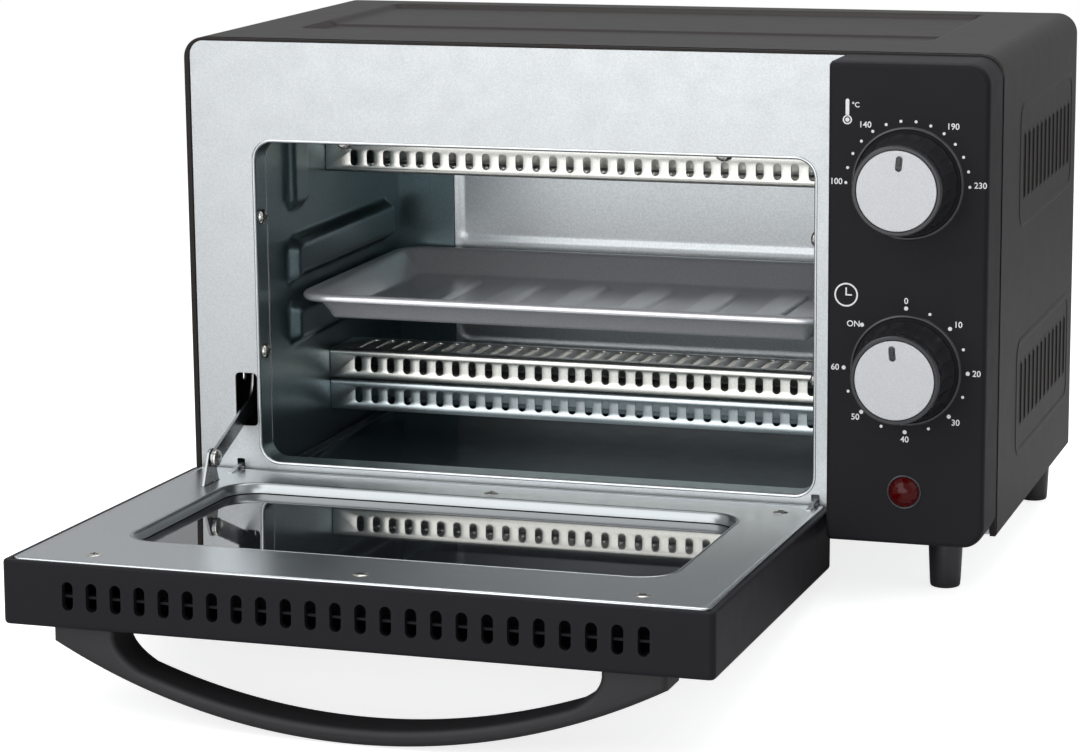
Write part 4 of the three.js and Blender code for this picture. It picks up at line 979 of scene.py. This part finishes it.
# ---- Pieces that keep their CAD shape --------------------------------------------------------
def dress_rest():
    """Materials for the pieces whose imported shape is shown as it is."""
    looks = {"thermostat_body": HOUSING, "timer_body": HOUSING, "lamp_holder": CERAMIC}
    looks.update({"door_spring": LEVER, "spring_anchor": BACK_STEEL})
    looks.update({"thermostat_shaft": LEVER, "timer_shaft": LEVER})
    looks.update({"handle_screw_left": SCREW, "handle_screw_right": SCREW})
    for name, material in looks.items():
        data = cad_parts[name].data
        data.materials.clear()
        data.materials.append(material)


# ---- Surroundings -------------------------------------------------------------------------
ROOM_LIGHT = 0.50
FLOOR_REACH, FLOOR_BACK = 2500, 1600
DIP_FROM, DIP_TO = -30, -150
CAMERA_PLACE, LENS = (600.9, -1347.2, 341.85), 112.1


def white(name, color, glow):
    """A pale surface with a glow that is seen, but doesn't fall on the oven."""
    material = surface(name, (color,) * 3, 0.6)
    tree = material.node_tree
    shader = tree.nodes["Principled BSDF"]
    shader.inputs["Emission Color"].default_value = (1, 1, 1, 1)
    path = tree.nodes.new("ShaderNodeLightPath")
    scale = tree.nodes.new("ShaderNodeMath")
    scale.operation = "MULTIPLY"
    scale.inputs[1].default_value = glow
    tree.links.new(path.outputs["Is Camera Ray"], scale.inputs[0])
    tree.links.new(scale.outputs["Value"], shader.inputs["Emission Strength"])
    return material


def plain(name, part, material):
    """A piece of the studio, which isn't part of the oven."""
    mesh = bpy.data.meshes.new(name)
    verts, faces, matrix = part
    mesh.from_pydata([matrix @ Vector(v) for v in verts], [], faces)
    mesh.materials.append(material)
    piece = bpy.data.objects.new(name, mesh)
    bpy.context.scene.collection.objects.link(piece)
    return piece


def build_stage():
    """The floor: level under the feet, dipping under the open door, whose handle hangs lower."""
    material = white("pale_surface", 0.62, 0.78)
    bottom = -shell_low.z / MM
    xs = [-FLOOR_REACH, FLOOR_REACH]
    ys = [-FLOOR_REACH, *spaced(DIP_TO, DIP_FROM, 4), FLOOR_BACK]
    drop = bottom - SOLE_Z
    floor = grid(xs, ys, lambda u, v: SOLE_Z + drop * ramp(v, DIP_FROM, DIP_TO), UPRIGHT, CASE, 5)
    plain("floor", floor, material).data.shade_smooth()


def area_light(name, place, aim, size, power, color=(1, 1, 1)):
    data = bpy.data.lights.new(name, "AREA")
    data.shape = "RECTANGLE"
    data.size, data.size_y = size
    data.energy = power
    data.color = color
    lamp = bpy.data.objects.new(name, data)
    bpy.context.scene.collection.objects.link(lamp)
    lamp.location = CASE @ Vector(place)
    direction = CASE @ Vector(aim) - lamp.location
    lamp.rotation_mode = "QUATERNION"
    lamp.rotation_quaternion = direction.to_track_quat("-Z", "Y")


def build_light():
    """A white background, and a room light of its own strength that the oven is lit by."""
    world = bpy.data.worlds.new("studio")
    bpy.context.scene.world = world
    world.use_nodes = True
    tree = world.node_tree
    seen = tree.nodes["Background"]
    seen.inputs["Color"].default_value = (1, 1, 1, 1)
    seen.inputs["Strength"].default_value = 1.0
    soft = tree.nodes.new("ShaderNodeBackground")
    soft.inputs["Color"].default_value = (0.96, 0.98, 1, 1)
    soft.inputs["Strength"].default_value = ROOM_LIGHT
    path = tree.nodes.new("ShaderNodeLightPath")
    mix = tree.nodes.new("ShaderNodeMixShader")
    tree.links.new(path.outputs["Is Camera Ray"], mix.inputs["Fac"])
    tree.links.new(soft.outputs["Background"], mix.inputs[1])
    tree.links.new(seen.outputs["Background"], mix.inputs[2])
    tree.links.new(mix.outputs["Shader"], tree.nodes["World Output"].inputs["Surface"])
    area_light("key", (-500, -1100, 1100), (150, 0, 80), (1.3, 1.0), 8)
    area_light("front", (0, -1500, 260), (150, 60, 80), (1.6, 0.8), 8)
    area_light("top", (250, 250, 1300), (180, 60, 100), (1.4, 1.0), 11)
    area_light("right", (1300, -300, 700), (300, 60, 100), (0.8, 0.8), 1.0)
    bpy.context.scene.view_settings.view_transform = "Standard"


def build_camera():
    """The camera stands right of the oven and above it, turned left and tilted down (radians)."""
    tilt, roll, turn = 0.198, -0.010, 0.315
    level = math.cos(tilt)
    forward = Vector((-math.sin(turn) * level, math.cos(turn) * level, -math.sin(tilt)))
    right = Vector((math.cos(turn), math.sin(turn), 0))
    up = right.cross(forward)
    across = right * math.cos(roll) + up * math.sin(roll)
    upward = up * math.cos(roll) - right * math.sin(roll)
    data = bpy.data.cameras.new("camera")
    data.sensor_width = 36
    data.lens = LENS
    data.clip_start, data.clip_end = 0.05, 50
    camera = bpy.data.objects.new("camera", data)
    bpy.context.scene.collection.objects.link(camera)
    columns = Matrix((across, upward, -forward)).transposed().to_4x4()
    camera.matrix_world = Matrix.Translation(CASE @ Vector(CAMERA_PLACE)) @ columns
    bpy.context.scene.camera = camera


build_camera()
build_light()
build_stage()
build_shell()
build_front_panel()
build_control_panel()
build_feet()
build_walls()
build_ceiling_and_base()
build_rear()
build_heaters()
build_tray()
build_crumb_tray()
build_screws()
for knob_name, knob_z, knob_turn in (("thermostat", THERMOSTAT_Z, 5), ("timer", TIMER_Z, -5)):
    build_knob(knob_name, knob_z, math.radians(knob_turn))
build_print()
build_lamp()
build_door_frame()
build_inner_plate()
build_glass()
build_handle()
build_lever()
dress_rest()

bpy.context.view_layer.update()
